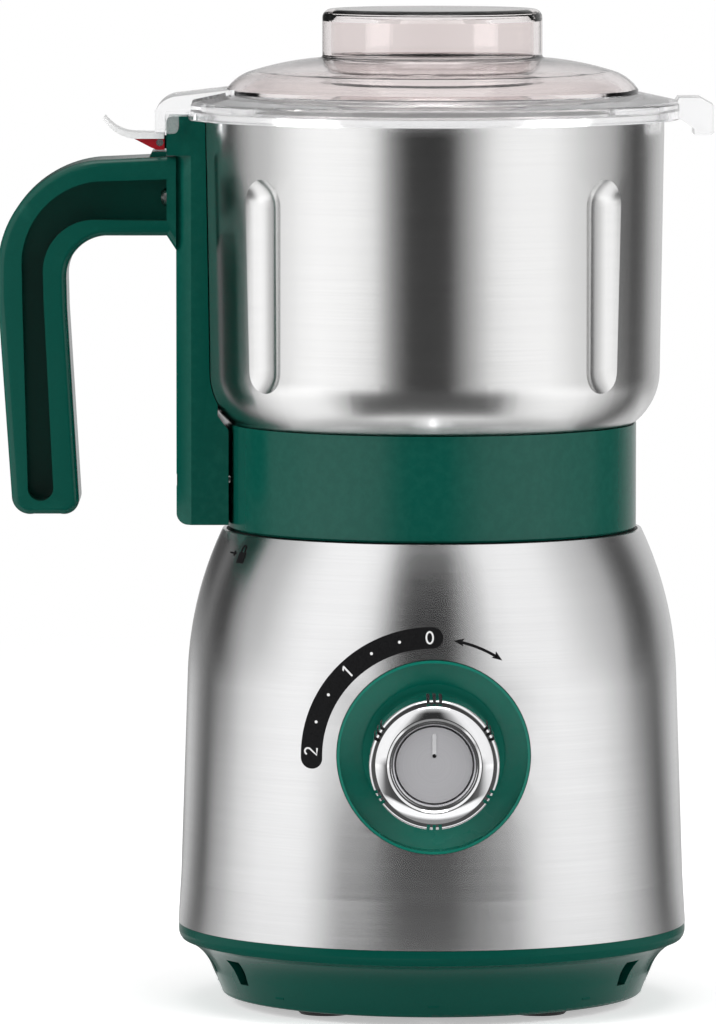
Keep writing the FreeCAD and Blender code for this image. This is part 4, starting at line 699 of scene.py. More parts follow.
@dataclass(frozen=True)
class Layered(Finish):
    """Stacked sheets or wound wire: level lines of even pitch."""

    pitch: float = 0.0006
    relief: float = 0.00015
    gap: float = 0.35
    aged: float = 0.6

    def shade(self, graph: Graph, shader: Node) -> None:
        """Rounded ridges with darker gaps between them.

        Args:
            graph: Graph on the material's tree.
            shader: The Principled BSDF.
        """
        place = graph.here()
        height = graph.split(place)[2]
        wave = graph.math("SINE", graph.times(height, 2 * math.pi / self.pitch))
        ridge = graph.spread(wave, -1.0, 1.0)
        patch = graph.noise(place, METAL_PATCHES, 4.0, 0.6)
        tone = graph.blend(graph.spread(ridge, 0.05, 0.5), self.tinted(self.gap), self.colour)
        aged = graph.blend(graph.spread(patch, 0.5, 0.8, 0.0, 0.4), tone, self.tinted(self.aged))
        graph.link(aged, shader.inputs["Base Color"])
        rough = graph.spread(patch, 0.3, 0.7, self.roughness - 0.06, self.roughness + 0.1)
        graph.link(rough, shader.inputs["Roughness"])
        shader.inputs["Metallic"].default_value = 1.0
        self.bump(graph, shader, ridge, self.relief)


@dataclass(frozen=True)
class Printed(Finish):
    """Screen-printed ink: flat, a little uneven in its cover."""

    gloss: float = 0.1
    thin: float = 1.15
    thin_lift: float = 0.006
    relief: float = 0.00001
    grain_dulls: float = 0.1

    def shade(self, graph: Graph, shader: Node) -> None:
        """Slight mottling of tone and gloss.

        Args:
            graph: Graph on the material's tree.
            shader: The Principled BSDF.
        """
        shader.inputs["Specular IOR Level"].default_value = self.gloss
        grain = EFFECTS.place(graph, Effect.MOULD_GRAIN, Grains_Per_Metre=2600.0, Waviness=0.1)
        mask = grain.outputs["Mask"]
        tone = graph.blend(mask, self.tinted(self.thin, self.thin_lift), self.colour)
        graph.link(tone, shader.inputs["Base Color"])
        graph.link(self.roughened(graph, mask, self.grain_dulls), shader.inputs["Roughness"])
        self.bump(graph, shader, grain.outputs["Height"], self.relief)


# Finishes of this mill

# The green plastic's strong lighter edges are a painted highlight along its rims and channel edges
GREEN = Moulded("green_plastic", (0.0008, 0.062, 0.045), 0.14, relief=0.0000025, gloss=0.32,
                wear=0.5, edge=1.6)
SKIRT_GREEN = Moulded("skirt_green", (0.0008, 0.062, 0.045), 0.2, relief=0.0000025, gloss=0.1, wear=0.2)
HOUSING_STEEL = Brushed("brushed_steel", (0.9, 0.9, 0.905), 0.22)
CUP_STEEL = Brushed("cup_steel", (0.92, 0.918, 0.915), 0.22, lines=3600.0)
CHROME = Polished("chrome", (0.93, 0.93, 0.94), 0.055, tone=0.97, relief=0.000002)
SATIN = Spun("satin_metal", (0.68, 0.675, 0.7), 0.33)
# Dial dish: a lighter copy of the green, painted light that makes up for the shade the knob casts into the
# dish
BEZEL_GREEN_PAINTED_LIGHT = Moulded("bezel_green_painted_light", (0.003, 0.155, 0.11), 0.22, relief=0.000005, gloss=0.36)
POINTER = Moulded("pointer_inlay", (0.5, 0.5, 0.51), 0.35)
BLACK = Moulded("black_plastic", (0.018, 0.018, 0.019), 0.4, relief=0.00003)
WHITE = Moulded("white_plastic", (0.82, 0.82, 0.8), 0.35)
RED = Moulded("red_plastic", (0.42, 0.006, 0.014), 0.22, relief=0.00001)
PALE = Moulded("pale_plastic", (0.86, 0.86, 0.86), 0.28, relief=0.00001)
CLEAR = Clear("clear_plastic", (0.96, 0.96, 0.965), 0.02, through=0.88, bending=1.3)
SMOKE = Clear("smoke_plastic", (0.842, 0.795, 0.79), 0.012)
SILICONE = Soft("silicone", (0.72, 0.72, 0.7), 0.5)
RUBBER = Soft("rubber", (0.02, 0.02, 0.021), 0.6)
SCREW = Polished("screw_steel", (0.62, 0.62, 0.62), 0.24, relief=0.00001)
BEARING = Polished("bearing_steel", (0.58, 0.58, 0.6), 0.16)
BLADE = Polished("blade_steel", (0.68, 0.68, 0.69), 0.14, lines=600.0)
CAST = Polished("cast_aluminium", (0.55, 0.56, 0.57), 0.42, relief=0.00004, lines=1400.0)
SHEETS = Layered("laminations", (0.22, 0.23, 0.25), 0.42, pitch=0.0006)
COPPER = Layered("copper", (0.72, 0.26, 0.1), 0.3, pitch=0.0008)
BRASS = Polished("brass", (0.72, 0.5, 0.2), 0.25)
CARBON = Moulded("carbon", (0.02, 0.02, 0.022), 0.7, relief=0.00004)
SWITCH = Moulded("switch_plastic", (0.03, 0.03, 0.032), 0.45, relief=0.00003)
DOG = Moulded("dog_plastic", (0.025, 0.025, 0.027), 0.42, relief=0.00003)
BOARD = Moulded("circuit_board", (0.02, 0.1, 0.04), 0.35, relief=0.00003)
BLACK_INK = Printed("black_ink", (0.004, 0.004, 0.0045), 0.55)
WHITE_INK = Printed("white_ink", (0.66, 0.66, 0.66), 0.5)

SLOT_FINISH: dict[str, Finish] = {
    "green_plastic": GREEN, "brushed_steel": HOUSING_STEEL, "chrome": CHROME, "satin_metal": SATIN,
    "black_plastic": BLACK, "white_plastic": WHITE, "red_plastic": RED, "pale_plastic": PALE,
    "clear_plastic": CLEAR, "smoke_plastic": SMOKE, "silicone": SILICONE, "rubber": RUBBER,
    "screw_steel": SCREW, "bearing_steel": BEARING, "blade_steel": BLADE, "cast_aluminium": CAST,
    "laminations": SHEETS, "copper": COPPER, "brass": BRASS, "carbon": CARBON,
    "switch_plastic": SWITCH, "dog_plastic": DOG, "circuit_board": BOARD,
}

OWN_FINISH: dict[str, Finish] = {
    "grinding_cup": CUP_STEEL, "dial_bezel": BEZEL_GREEN_PAINTED_LIGHT, "knob_pointer": POINTER,
    "base_skirt": SKIRT_GREEN,
}


class Paintbox:
    """Makes each finish's material once and hands it out."""

    def __init__(self) -> None:
        """Start with no material made."""
        self.made: dict[str, bpy.types.Material] = {}

    def get(self, finish: Finish) -> bpy.types.Material:
        """Give a finish's material, made at its first use.

        Args:
            finish: The finish.

        Returns:
            Its material.
        """
        if finish.name not in self.made:
            self.made[finish.name] = finish.build()
        return self.made[finish.name]


PAINT = Paintbox()


def read_slots() -> dict[str, str]:
    """Slot of each CAD node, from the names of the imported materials.

    Returns:
        Node name to slot name.
    """
    slots = {}
    for name, piece in frame["nodes"].items():
        label = piece.material_slots[0].material.name if piece.material_slots else ""
        slots[name] = label.split(".")[0]
    return slots


NODE_SLOT = read_slots()


def dress(node: str) -> None:
    """Give a CAD node its own finish, or else its slot's, on all its material slots.

    Args:
        node: The CAD node's name.
    """
    finish = OWN_FINISH.get(node) or SLOT_FINISH[NODE_SLOT[node]]
    piece = frame["nodes"][node]
    material = PAINT.get(finish)
    if not piece.material_slots:
        piece.data.materials.append(material)
    for slot in piece.material_slots:
        slot.material = material
    LOG.info("dressed %s in %s", node, finish.name)


# Mesh building

REFINE_PASSES = 6
OVAL_SIDES = 28
BAND_STEPS = 48
TIP_STEPS = 12


def stand(name: str, data: bpy.types.ID) -> bpy.types.Object:
    """Put a mesh, lamp or camera into the scene.

    Args:
        name: The object's name.
        data: What it shows.

    Returns:
        The new object.
    """
    item = bpy.data.objects.new(name, data)
    bpy.context.scene.collection.objects.link(item)
    return item


def piece_from(name: str, build: Callable[[Form], None], finish: Finish, body: str,
               smooth: bool = True) -> bpy.types.Object:
    """Make a piece from mesh code, dress it and let it ride.

    Args:
        name: The piece's name.
        build: Fills an empty bmesh.
        finish: The piece's finish.
        body: The CAD body that it rides on.
        smooth: True for smooth shading.

    Returns:
        The new object.
    """
    mesh = bpy.data.meshes.new(name)
    form = bmesh.new()
    build(form)
    for face in form.faces:
        face.smooth = smooth
    form.to_mesh(mesh)
    form.free()
    piece = stand(name, mesh)
    mesh.materials.append(PAINT.get(finish))
    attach(piece, body)
    LOG.info("made %s on %s", name, body)
    return piece


def fill_outline(form: Form, outline: Loop2, holes: Iterable[Loop2]) -> None:
    """Fill a flat outline, with holes, in the XY plane.

    Args:
        form: The mesh to add to.
        outline: The outer loop.
        holes: Inner loops.
    """
    edges = []
    for loop in (outline, *holes):
        points = [form.verts.new((x, y, 0.0)) for x, y in loop]
        for index, point in enumerate(points):
            edges.append(form.edges.new((point, points[(index + 1) % len(points)])))
    bmesh.ops.triangle_fill(form, edges=edges, use_beauty=True)


def refine(form: Form, longest: float) -> None:
    """Split edges until none is longer than a length.

    Args:
        form: The mesh.
        longest: Longest edge kept, in the mesh's unit.
    """
    for _ in range(REFINE_PASSES):
        long_edges = [edge for edge in form.edges if edge.calc_length() > longest]
        if not long_edges:
            return
        bmesh.ops.subdivide_edges(form, edges=long_edges, cuts=1)
        bmesh.ops.triangulate(form, faces=form.faces[:])


def bridge(form: Form, first: Sequence[bmesh.types.BMVert], second: Sequence[bmesh.types.BMVert]) -> None:
    """Close the gap between two closed loops with four-sided faces.

    Args:
        form: The mesh that holds both loops.
        first: One loop's points.
        second: The other's, as many.
    """
    for index in range(len(first)):
        after = (index + 1) % len(first)
        form.faces.new((first[index], first[after], second[after], second[index]))


def arc_points(radius: float, start: float, end: float, steps: int,
               centre: Point2 = (0.0, 0.0)) -> list[Point2]:
    """Points along an arc, both ends included.

    Args:
        radius: The arc's radius.
        start: First angle in degrees from +x.
        end: Last angle in degrees.
        steps: Number of even steps between them.
        centre: The arc's centre.

    Returns:
        The points, one more than the steps.
    """
    points = []
    for index in range(steps + 1):
        angle = math.radians(start + (end - start) * index / steps)
        points.append((centre[0] + radius * math.cos(angle), centre[1] + radius * math.sin(angle)))
    return points


def round_points(radius: float, sides: int, centre: Point2 = (0.0, 0.0)) -> list[Point2]:
    """Points of a closed circle, the first at +x."""
    return arc_points(radius, 0.0, 360.0 - 360.0 / sides, sides - 1, centre)


def at_angle(radius: float, angle: float) -> Point2:
    """Point at a radius and an angle in degrees from +x."""
    return radius * math.cos(math.radians(angle)), radius * math.sin(math.radians(angle))


def band_outline(radius: float, width: float, start: float, end: float) -> list[Point2]:
    """Outline of an arc band with round ends.

    Args:
        radius: Middle radius.
        width: Width of the band.
        start: First angle in degrees.
        end: Last angle in degrees.

    Returns:
        The outline's points.
    """
    half = width / 2
    outer = arc_points(radius + half, start, end, BAND_STEPS)
    tip = arc_points(half, end, end + 180.0, TIP_STEPS, at_angle(radius, end))[1:-1]
    inner = arc_points(radius - half, end, start, BAND_STEPS)
    tail = arc_points(half, start + 180.0, start + 360.0, TIP_STEPS, at_angle(radius, start))[1:-1]
    return outer + tip + inner + tail


def stroke_outline(path: Loop2, width: float) -> list[Point2]:
    """Outline of an open line of even width with square corners.

    Args:
        path: The line's points.
        width: Its width.

    Returns:
        The outline's points.
    """
    left, right = [], []
    last = len(path) - 1
    for index, (x, y) in enumerate(path):
        before = path[max(0, index - 1)]
        after = path[min(last, index + 1)]
        along = Vector((after[0] - before[0], after[1] - before[1])).normalized()
        side = Vector((-along.y, along.x)) * width / 2
        left.append((x + side.x, y + side.y))
        right.append((x - side.x, y - side.y))
    return left + right[::-1]


def turned_by(points: Loop2, degrees: float, move: Point2) -> list[Point2]:
    """Turn points about the origin and then move them.

    Args:
        points: The points.
        degrees: How far they turn, towards +y from +x.
        move: What is then added to each.

    Returns:
        The turned points.
    """
    angle = math.radians(degrees)
    c, s = math.cos(angle), math.sin(angle)
    return [(x * c - y * s + move[0], x * s + y * c + move[1]) for x, y in points]


class Digit(Enum):
    """Plain numbers of the dial's scale, as outlines in a box 1 high about the origin."""

    ZERO = 0
    ONE = 1
    TWO = 2

    def loops(self) -> Patch:
        """Outer loop and holes of the number.

        Returns:
            The outer loop, and a list of holes.
        """
        if self is Digit.ZERO:
            return self.oval(0.32, 0.5), [self.oval(0.19, 0.37)]
        if self is Digit.ONE:
            stem = [(-0.02, -0.5), (0.12, -0.5), (0.12, 0.5), (0.0, 0.5)]
            return stem + [(-0.2, 0.34), (-0.2, 0.2), (-0.02, 0.31)], []
        bow = arc_points(0.245, 160.0, -35.0, 14, (0.0, 0.24))
        return stroke_outline(bow + [(-0.24, -0.43), (0.3, -0.43)], 0.13), []

    @staticmethod
    def oval(across: float, up: float) -> list[Point2]:
        """Closed oval of two half sizes."""
        angles = [2 * math.pi * index / OVAL_SIDES for index in range(OVAL_SIDES)]
        return [(across * math.cos(angle), up * math.sin(angle)) for angle in angles]


class Surface:
    """Lays flat marks onto the outside of a CAD node."""

    OUTSIDE = 0.2
    WRAP_RADIUS = 0.062

    def __init__(self, node: str) -> None:
        """Read the node's faces.

        Args:
            node: The CAD node that carries the marks.
        """
        data = frame["nodes"][node].data
        corners = [vertex.co.copy() for vertex in data.vertices]
        self.tree = BVHTree.FromPolygons(corners, [tuple(face.vertices) for face in data.polygons])

    def from_front(self, form: Form, centre: Point2, lift: float) -> None:
        """Project a flat form drawn in millimetres along +Y.

        Args:
            form: Mesh in the XY plane; its x goes to world X and its y to world Z.
            centre: World X and Z of its origin, in metres.
            lift: Height above the surface in metres.
        """
        for vertex in form.verts:
            x, z = centre[0] + vertex.co.x * MM, centre[1] + vertex.co.y * MM
            start = Vector((x, -self.OUTSIDE, z))
            vertex.co = self.landing(start, Vector((0.0, 1.0, 0.0)), lift)

    def round_axis(self, form: Form, azimuth: float, height: float, lift: float) -> None:
        """Wrap a flat form drawn in millimetres round the upright axis.

        Args:
            form: Mesh in the XY plane; its x runs round the axis to the right and its y goes up.
            azimuth: Where its origin goes, in degrees from the front, left negative.
            height: World Z of its origin in metres.
            lift: Height above the surface in metres.
        """
        for vertex in form.verts:
            angle = math.radians(azimuth) + vertex.co.x * MM / self.WRAP_RADIUS
            out = Vector((math.sin(angle), -math.cos(angle), 0.0))
            start = out * self.OUTSIDE + Vector((0.0, 0.0, height + vertex.co.y * MM))
            vertex.co = self.landing(start, -out, lift)

    def landing(self, start: Vector, along: Vector, lift: float) -> Vector:
        """Find where a ray meets the node, lifted off it.

        Args:
            start: Where the ray starts.
            along: Which way it runs.
            lift: Height above the surface in metres.

        Returns:
            The lifted point.
        """
        hit, normal, _, _ = self.tree.ray_cast(start, along)
        away = Vector((hit.x, hit.y, 0.0))
        outward = normal if normal.dot(away) > 0 else -normal
        return hit + outward * lift


# Sub-assemblies

@dataclass
class SubAssembly:
    """Pieces that are built and dressed together, over one or more moving bodies."""

    bodies: tuple[str, ...] = ()

    def build(self) -> None:
        """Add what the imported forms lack, which is nothing unless a sub-assembly says so."""

    def dress(self) -> None:
        """Finish every CAD node on the sub-assembly's bodies."""
        for body in self.bodies:
            for node in frame["record"]["behaviour"]["bodies"][body]:
                dress(node)


@dataclass
class MotorBase(SubAssembly):
    """Green skirt, steel housing, deck and everything fixed inside. Marks are drawn in millimetres."""

    bodies: tuple[str, ...] = ("base",)
    dial_centre: Point2 = (-0.0003, 0.07535)
    ink: float = 0.00011
    strip_radius: float = 33.3
    strip_width: float = 5.8
    strip_angles: tuple[float, float] = (90.0, 181.0)
    digit_height: float = 3.6
    digit_start: float = 91.4
    digit_step: float = 43.2
    dot_radius: float = 0.42
    dots_at: tuple[float, ...] = (1 / 3, 2 / 3, 4 / 3, 5 / 3)
    arrow_radius: float = 33.0
    arrow_width: float = 0.75
    arrow_angles: tuple[float, float] = (80.0, 54.6)
    arrow_head: tuple[Point2, ...] = ((0.0, 0.0), (-2.9, 1.05), (-2.3, 0.0), (-2.9, -1.05))
    head_lap: float = 3.0
    lock_azimuth: float = -62.0
    lock_height: float = 0.1285
    longest_edge: float = 1.1

    def build(self) -> None:
        """Lay the printed marks on the housing."""
        skin = Surface("housing_shell")
        self.print_scale(skin)
        self.print_arrow(skin)
        self.print_lock(skin)

    def mark(self, name: str, patches: Sequence[Patch], lay: Callable[[Form], None], ink: Finish,
             slot: str) -> None:
        """Make one printed mark.

        Args:
            name: The piece's name.
            patches: Outer loop and holes of each patch.
            lay: Puts the flat form onto the housing.
            ink: The ink.
            slot: The record's material slot; not used.
        """
        def fill(form: Form) -> None:
            """Fill the patches, lay them on and turn them to face outward.

            Args:
                form: The empty mesh to fill.
            """
            for outer, holes in patches:
                fill_outline(form, outer, holes)
            refine(form, self.longest_edge)
            lay(form)
            bmesh.ops.recalc_face_normals(form, faces=form.faces[:])
            facing = sum((face.normal for face in form.faces), Vector())
            away = sum((vertex.co for vertex in form.verts), Vector())
            if facing.dot(Vector((away.x, away.y, 0.0))) < 0:
                bmesh.ops.reverse_faces(form, faces=form.faces[:])

        piece_from(name, fill, ink, "base")

    def print_scale(self, skin: Surface) -> None:
        """Black scale strip with its numbers and dots.

        Args:
            skin: The housing's surface.
        """
        band = band_outline(self.strip_radius, self.strip_width, *self.strip_angles)
        lay = partial(skin.from_front, centre=self.dial_centre, lift=self.ink)
        self.mark("scale_strip", [(band, [])], lay, BLACK_INK, "black_plastic")
        patches = []
        for digit in Digit:
            angle = self.digit_start + self.digit_step * digit.value
            spot = at_angle(self.strip_radius, angle)
            outer, holes = digit.loops()
            placed = []
            for loop in (outer, *holes):
                sized = [(x * self.digit_height, y * self.digit_height) for x, y in loop]
                placed.append(turned_by(sized, angle - 90.0, spot))
            patches.append((placed[0], placed[1:]))
        for place in self.dots_at:
            spot = at_angle(self.strip_radius, self.digit_start + self.digit_step * place)
            patches.append((arc_points(self.dot_radius, 0.0, 350.0, 17, spot), []))
        lay = partial(skin.from_front, centre=self.dial_centre, lift=self.ink * 2)
        self.mark("scale_numbers", patches, lay, WHITE_INK, "white_plastic")

    def print_arrow(self, skin: Surface) -> None:
        """Thin arc with a head at each end, for the pulse setting.

        Args:
            skin: The housing's surface.
        """
        first, last = self.arrow_angles
        arc = arc_points(self.arrow_radius, first - self.head_lap, last + self.head_lap, 16)
        patches = [(stroke_outline(arc, self.arrow_width), [])]
        for angle, turn in ((first, 90.0), (last, -90.0)):
            spot = at_angle(self.arrow_radius, angle)
            patches.append((turned_by(self.arrow_head, angle + turn, spot), []))
        lay = partial(skin.from_front, centre=self.dial_centre, lift=self.ink)
        self.mark("pulse_arrow", patches, lay, BLACK_INK, "black_plastic")

    def print_lock(self, skin: Surface) -> None:
        """Small arrow and closed padlock where the cup is turned to.

        Args:
            skin: The housing's surface.
        """
        arrow = [(-5.8, -0.22), (-3.1, -0.22), (-3.1, -0.9), (-1.7, 0.0), (-3.1, 0.9), (-3.1, 0.22),
                 (-5.8, 0.22)]
        case = [(0.2, -2.4), (3.8, -2.4), (3.8, 0.5), (0.2, 0.5)]
        bow_out = [(0.75, 0.5), *arc_points(1.25, 180.0, 0.0, 12, (2.0, 1.3)), (3.25, 0.5)]
        bow_in = [(2.75, 0.5), *arc_points(0.75, 0.0, 180.0, 10, (2.0, 1.3)), (1.25, 0.5)]
        lay = partial(skin.round_axis, azimuth=self.lock_azimuth, height=self.lock_height, lift=self.ink)
        patches = [(arrow, []), (case, []), (bow_out + bow_in, [])]
        self.mark("lock_mark", patches, lay, BLACK_INK, "black_plastic")


@dataclass
class ControlDial(SubAssembly):
    """Knob ring, face and pointer in front of the green dish.

    The centre and the face's front are in metres, and the other sizes in millimetres.
    """

    bodies: tuple[str, ...] = ("speed_knob",)
    centre: Point2 = (0.0, DIAL_HEIGHT)
    face_front: float = -0.0893
    dot_radius: float = 0.62
    dot_height: float = 2.6
    dot_rise: float = 0.22
    dot_crown: float = 0.7
    dot_sides: int = 24
    band_inner: float = 12.9
    band_outer: float = 16.1
    band_drop: float = 1.8
    band_slope: float = 0.36
    lap: float = 0.05
    around: int = 192
    across: int = 10
    reach: float = 0.03
    depth_reach: float = 0.02
    weld: float = 0.002
    crease: float = 0.5

    def build(self) -> None:
        """Round the knob ring and set the dot at the pointer's foot."""
        ring = piece_from("rounded_knob_ring", self.fill_ring, CHROME, "speed_knob")
        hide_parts("knob_ring")
        piece_from("pointer_dot", self.fill_dot, BLACK_INK, "speed_knob", smooth=False)

    def radius_of(self, point: Vector) -> float:
        """Distance in millimetres of a point from the dial's axis."""
        return math.hypot(point.x - self.centre[0], point.z - self.centre[1]) / MM

    def loop_at(self, form: Form, points: Loop2, y: float) -> list[bmesh.types.BMVert]:
        """Stand a flat loop round the dial's axis.

        Args:
            form: The mesh to add to.
            points: The loop in millimetres, as sideways and upward offsets from the axis.
            y: World Y of the loop in metres.

        Returns:
            The loop's vertices.
        """
        return [form.verts.new((self.centre[0] + x * MM, y, self.centre[1] + z * MM)) for x, z in points]

    def band_profile(self) -> list[Point2]:
        """Section of the rounded band, from the well's lip out to the notched step.

        Returns:
            Radius and depth behind the front plane of each point.
        """
        width = self.band_outer - self.band_inner
        bend = (self.band_drop - self.band_slope * width) / width ** 2
        points = [(self.band_inner - self.lap, self.lap)]
        for index in range(self.across + 1):
            x = width * index / self.across
            points.append((self.band_inner + x, self.band_slope * x + bend * x * x))
        return points + [(self.band_outer + self.lap, self.band_drop + self.lap)]

    def in_band(self, point: Vector, front: float) -> bool:
        """Tell whether a corner lies on the flat band, its round edge or the wall below it.

        Args:
            point: The corner.
            front: World Y of the ring's front plane.

        Returns:
            True if it does.
        """
        radius = self.radius_of(point)
        past_lip = radius > self.band_inner - self.reach
        before_step = radius < self.band_outer + self.reach
        return past_lip and before_step and (point.y - front) / MM < self.band_drop + self.depth_reach

    def fill_ring(self, form: Form) -> None:
        """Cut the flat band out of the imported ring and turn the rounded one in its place.

        Args:
            form: The empty mesh to fill.
        """
        source = frame["nodes"]["knob_ring"].data
        front = min(vertex.co.y for vertex in source.vertices)
        form.from_mesh(source)
        bmesh.ops.remove_doubles(form, verts=form.verts[:], dist=self.weld * MM)
        flat = [face for face in form.faces if all(self.in_band(corner.co, front) for corner in face.verts)]
        bmesh.ops.delete(form, geom=flat, context="FACES")
        loops = []
        for radius, depth in self.band_profile():
            loops.append(self.loop_at(form, round_points(radius, self.around), front + depth * MM))
        for inner, outer in zip(loops, loops[1:]):
            bridge(form, inner, outer)
        for edge in form.edges:
            edge.smooth = len(edge.link_faces) != 2 or edge.calc_face_angle() < self.crease

    def fill_dot(self, form: Form) -> None:
        """Raise the small dark dot at the pointer's foot.

        Args:
            form: The empty mesh to fill.
        """
        foot = (0.0, self.dot_height)
        rim = self.loop_at(form, round_points(self.dot_radius, self.dot_sides, foot), self.face_front)
        crown = self.loop_at(form, round_points(self.dot_radius * self.dot_crown, self.dot_sides, foot),
                             self.face_front - self.dot_rise * MM)
        bridge(form, rim, crown)
        form.faces.new(crown)
        bmesh.ops.recalc_face_normals(form, faces=form.faces[:])


@dataclass
class GrindingCup(SubAssembly):
    """Steel cup with its collar, handle, latch and safety rod."""

    bodies: tuple[str, ...] = ("cup", "latch", "interlock_rod", "interlock_plunger")


@dataclass
class DriveTrain(SubAssembly):
    """Rotor, blade bush and blades."""

    bodies: tuple[str, ...] = ("rotor", "blade_carrier", "blade_set")


@dataclass
class Lid(SubAssembly):
    """Clear ring and smoked dome."""

    bodies: tuple[str, ...] = ("lid",)


# Studio

AIM = Vector((0.0, 0.0, 0.14))


@dataclass(frozen=True)
class Lamp:
    """One soft box, placed round the mill and aimed at it."""

    name: str
    azimuth: float
    elevation: float
    distance: float
    width: float
    height: float
    power: float
    mirrored: bool = False

    def build(self) -> None:
        """Make the area lamp."""
        data = bpy.data.lights.new(self.name, "AREA")
        data.shape = "RECTANGLE"
        data.size = self.width
        data.size_y = self.height
        data.energy = self.power
        lamp = stand(self.name, data)
        a, e = math.radians(self.azimuth), math.radians(self.elevation)
        away = Vector((math.sin(a) * math.cos(e), -math.cos(a) * math.cos(e), math.sin(e)))
        lamp.location = AIM + away * self.distance
        lamp.rotation_mode = "QUATERNION"
        lamp.rotation_quaternion = (-away).to_track_quat("-Z", "Y")
        lamp.visible_glossy = self.mirrored
        LOG.info("lit %s", self.name)


Profile = tuple[Point2, ...]


def held(profile: Profile, place: float) -> float:
    """Read a profile at a place, with straight lines between its points.

    Args:
        profile: Points of (place, value) in rising order.
        place: Where it is read.

    Returns:
        The value there.
    """
    for (low, first), (high, last) in zip(profile, profile[1:]):
        if low <= place <= high:
            return first + (last - first) * (place - low) / (high - low)
    return profile[-1][1]


@dataclass(frozen=True)
class Tent:
    """Thin dark cloth hung round the mill, thick where reflections are dark. Only reflections see it.

    Each row is a distance, a height and a profile of (azimuth in degrees, clearness from 0 to 1). The front
    is at 0 degrees.
    """

    name: str
    rows: tuple[tuple[float, float, Profile], ...]
    steps: int = 180
    parallax: float = 1.06

    def build(self, material: bpy.types.Material) -> None:
        """Hang the cloth.

        Args:
            material: The cloth, which reads the point attribute veil.
        """
        mesh = bpy.data.meshes.new(self.name)
        form = bmesh.new()
        veil = form.verts.layers.float.new("veil")
        loops = []
        for distance, height, profile in self.rows:
            loop = []
            for index in range(self.steps):
                azimuth = -180.0 + 360.0 * index / self.steps
                a = math.radians(azimuth)
                point = form.verts.new((math.sin(a) * distance, -math.cos(a) * distance, height))
                point[veil] = 1.0 - held(profile, max(-180.0, min(180.0, azimuth * self.parallax)))
                loop.append(point)
            loops.append(loop)
        for lower, upper in zip(loops, loops[1:]):
            bridge(form, lower, upper)
        form.to_mesh(mesh)
        form.free()
        cloth = stand(self.name, mesh)
        mesh.materials.append(material)
        cloth.visible_camera = False
        cloth.visible_diffuse = False
        cloth.visible_transmission = False
        cloth.visible_shadow = False


WIDE: Profile = (
    (-180.0, 0.5), (-172.0, 0.35), (-160.0, 0.65), (-150.0, 0.52), (-140.0, 0.26), (-130.0, 0.09),
    (-120.0, 0.43), (-110.0, 0.6), (-100.0, 0.83), (-85.0, 1.0), (-70.0, 1.0), (-60.0, 0.93), (-50.0, 0.57),
    (-41.0, 0.14), (-32.0, 0.07), (25.0, 0.07), (34.0, 0.14), (42.0, 0.5), (50.0, 0.8), (60.0, 0.93),
    (70.0, 0.98), (85.0, 0.95), (100.0, 0.7), (110.0, 0.51), (120.0, 0.27), (130.0, 0.09), (140.0, 0.33),
    (150.0, 0.57), (160.0, 0.64), (180.0, 0.5))
NARROW: Profile = (
    (-180.0, 0.6), (-168.0, 0.3), (-150.0, 0.3), (-120.0, 0.06), (-110.0, 0.2), (-100.0, 0.5), (-90.0, 0.7),
    (-75.0, 0.9), (-60.0, 1.0), (-40.0, 1.0), (-30.0, 0.87), (-20.0, 0.23), (-12.0, 0.04), (8.0, 0.04),
    (20.0, 0.47), (30.0, 0.87), (40.0, 0.96), (60.0, 0.94), (80.0, 0.75), (100.0, 0.4), (110.0, 0.12),
    (125.0, 0.12), (140.0, 0.35), (165.0, 0.6), (180.0, 0.6))
UPPER: Profile = (
    (-180.0, 0.6), (-172.0, 0.06), (-150.0, 0.06), (-140.0, 0.16), (-130.0, 0.06), (-120.0, 0.04),
    (-110.0, 0.32), (-100.0, 0.5), (-90.0, 0.54), (-80.0, 0.73), (-70.0, 0.92), (-60.0, 1.0), (-40.0, 1.0),
    (-30.0, 0.87), (-20.0, 0.23), (-12.0, 0.03), (8.0, 0.03), (20.0, 0.47), (30.0, 0.87), (40.0, 0.96),
    (60.0, 0.94), (70.0, 0.8), (80.0, 0.65), (90.0, 0.55), (100.0, 0.45), (110.0, 0.18), (120.0, 0.06),
    (130.0, 0.11), (140.0, 0.33), (150.0, 0.5), (165.0, 0.58), (180.0, 0.6))
GROUND: Profile = tuple((azimuth, 0.7 * clear) for azimuth, clear in WIDE)
HIGH: Profile = (
    (-180.0, 0.8), (-60.0, 1.0), (-25.0, 0.9), (-12.0, 0.45), (8.0, 0.45), (25.0, 0.9), (60.0, 1.0),
    (180.0, 0.8))
# Dark ring on the floor round the mill's foot: painted contact shadow, seen only in reflections
FOOT_PAINTED_SHADE: Profile = ((-180.0, 0.22), (180.0, 0.22))
NEAR: Profile = ((-180.0, 0.5), (-60.0, 0.4), (-30.0, 0.8), (30.0, 0.8), (60.0, 0.4), (180.0, 0.5))
OPEN: Profile = ((-180.0, 1.0), (180.0, 1.0))


def seen_rays(graph: Graph) -> Socket:
    """Tell rays that show a thing from rays that only light.

    Args:
        graph: Graph on the material's or world's own tree.

    Returns:
        1 for rays from the camera, off glossy surfaces or through clear ones, else 0.
    """
    path = graph.add("ShaderNodeLightPath")
    shown = graph.math("MAXIMUM", path.outputs["Is Camera Ray"], path.outputs["Is Glossy Ray"])
    return graph.math("MAXIMUM", shown, path.outputs["Is Transmission Ray"])


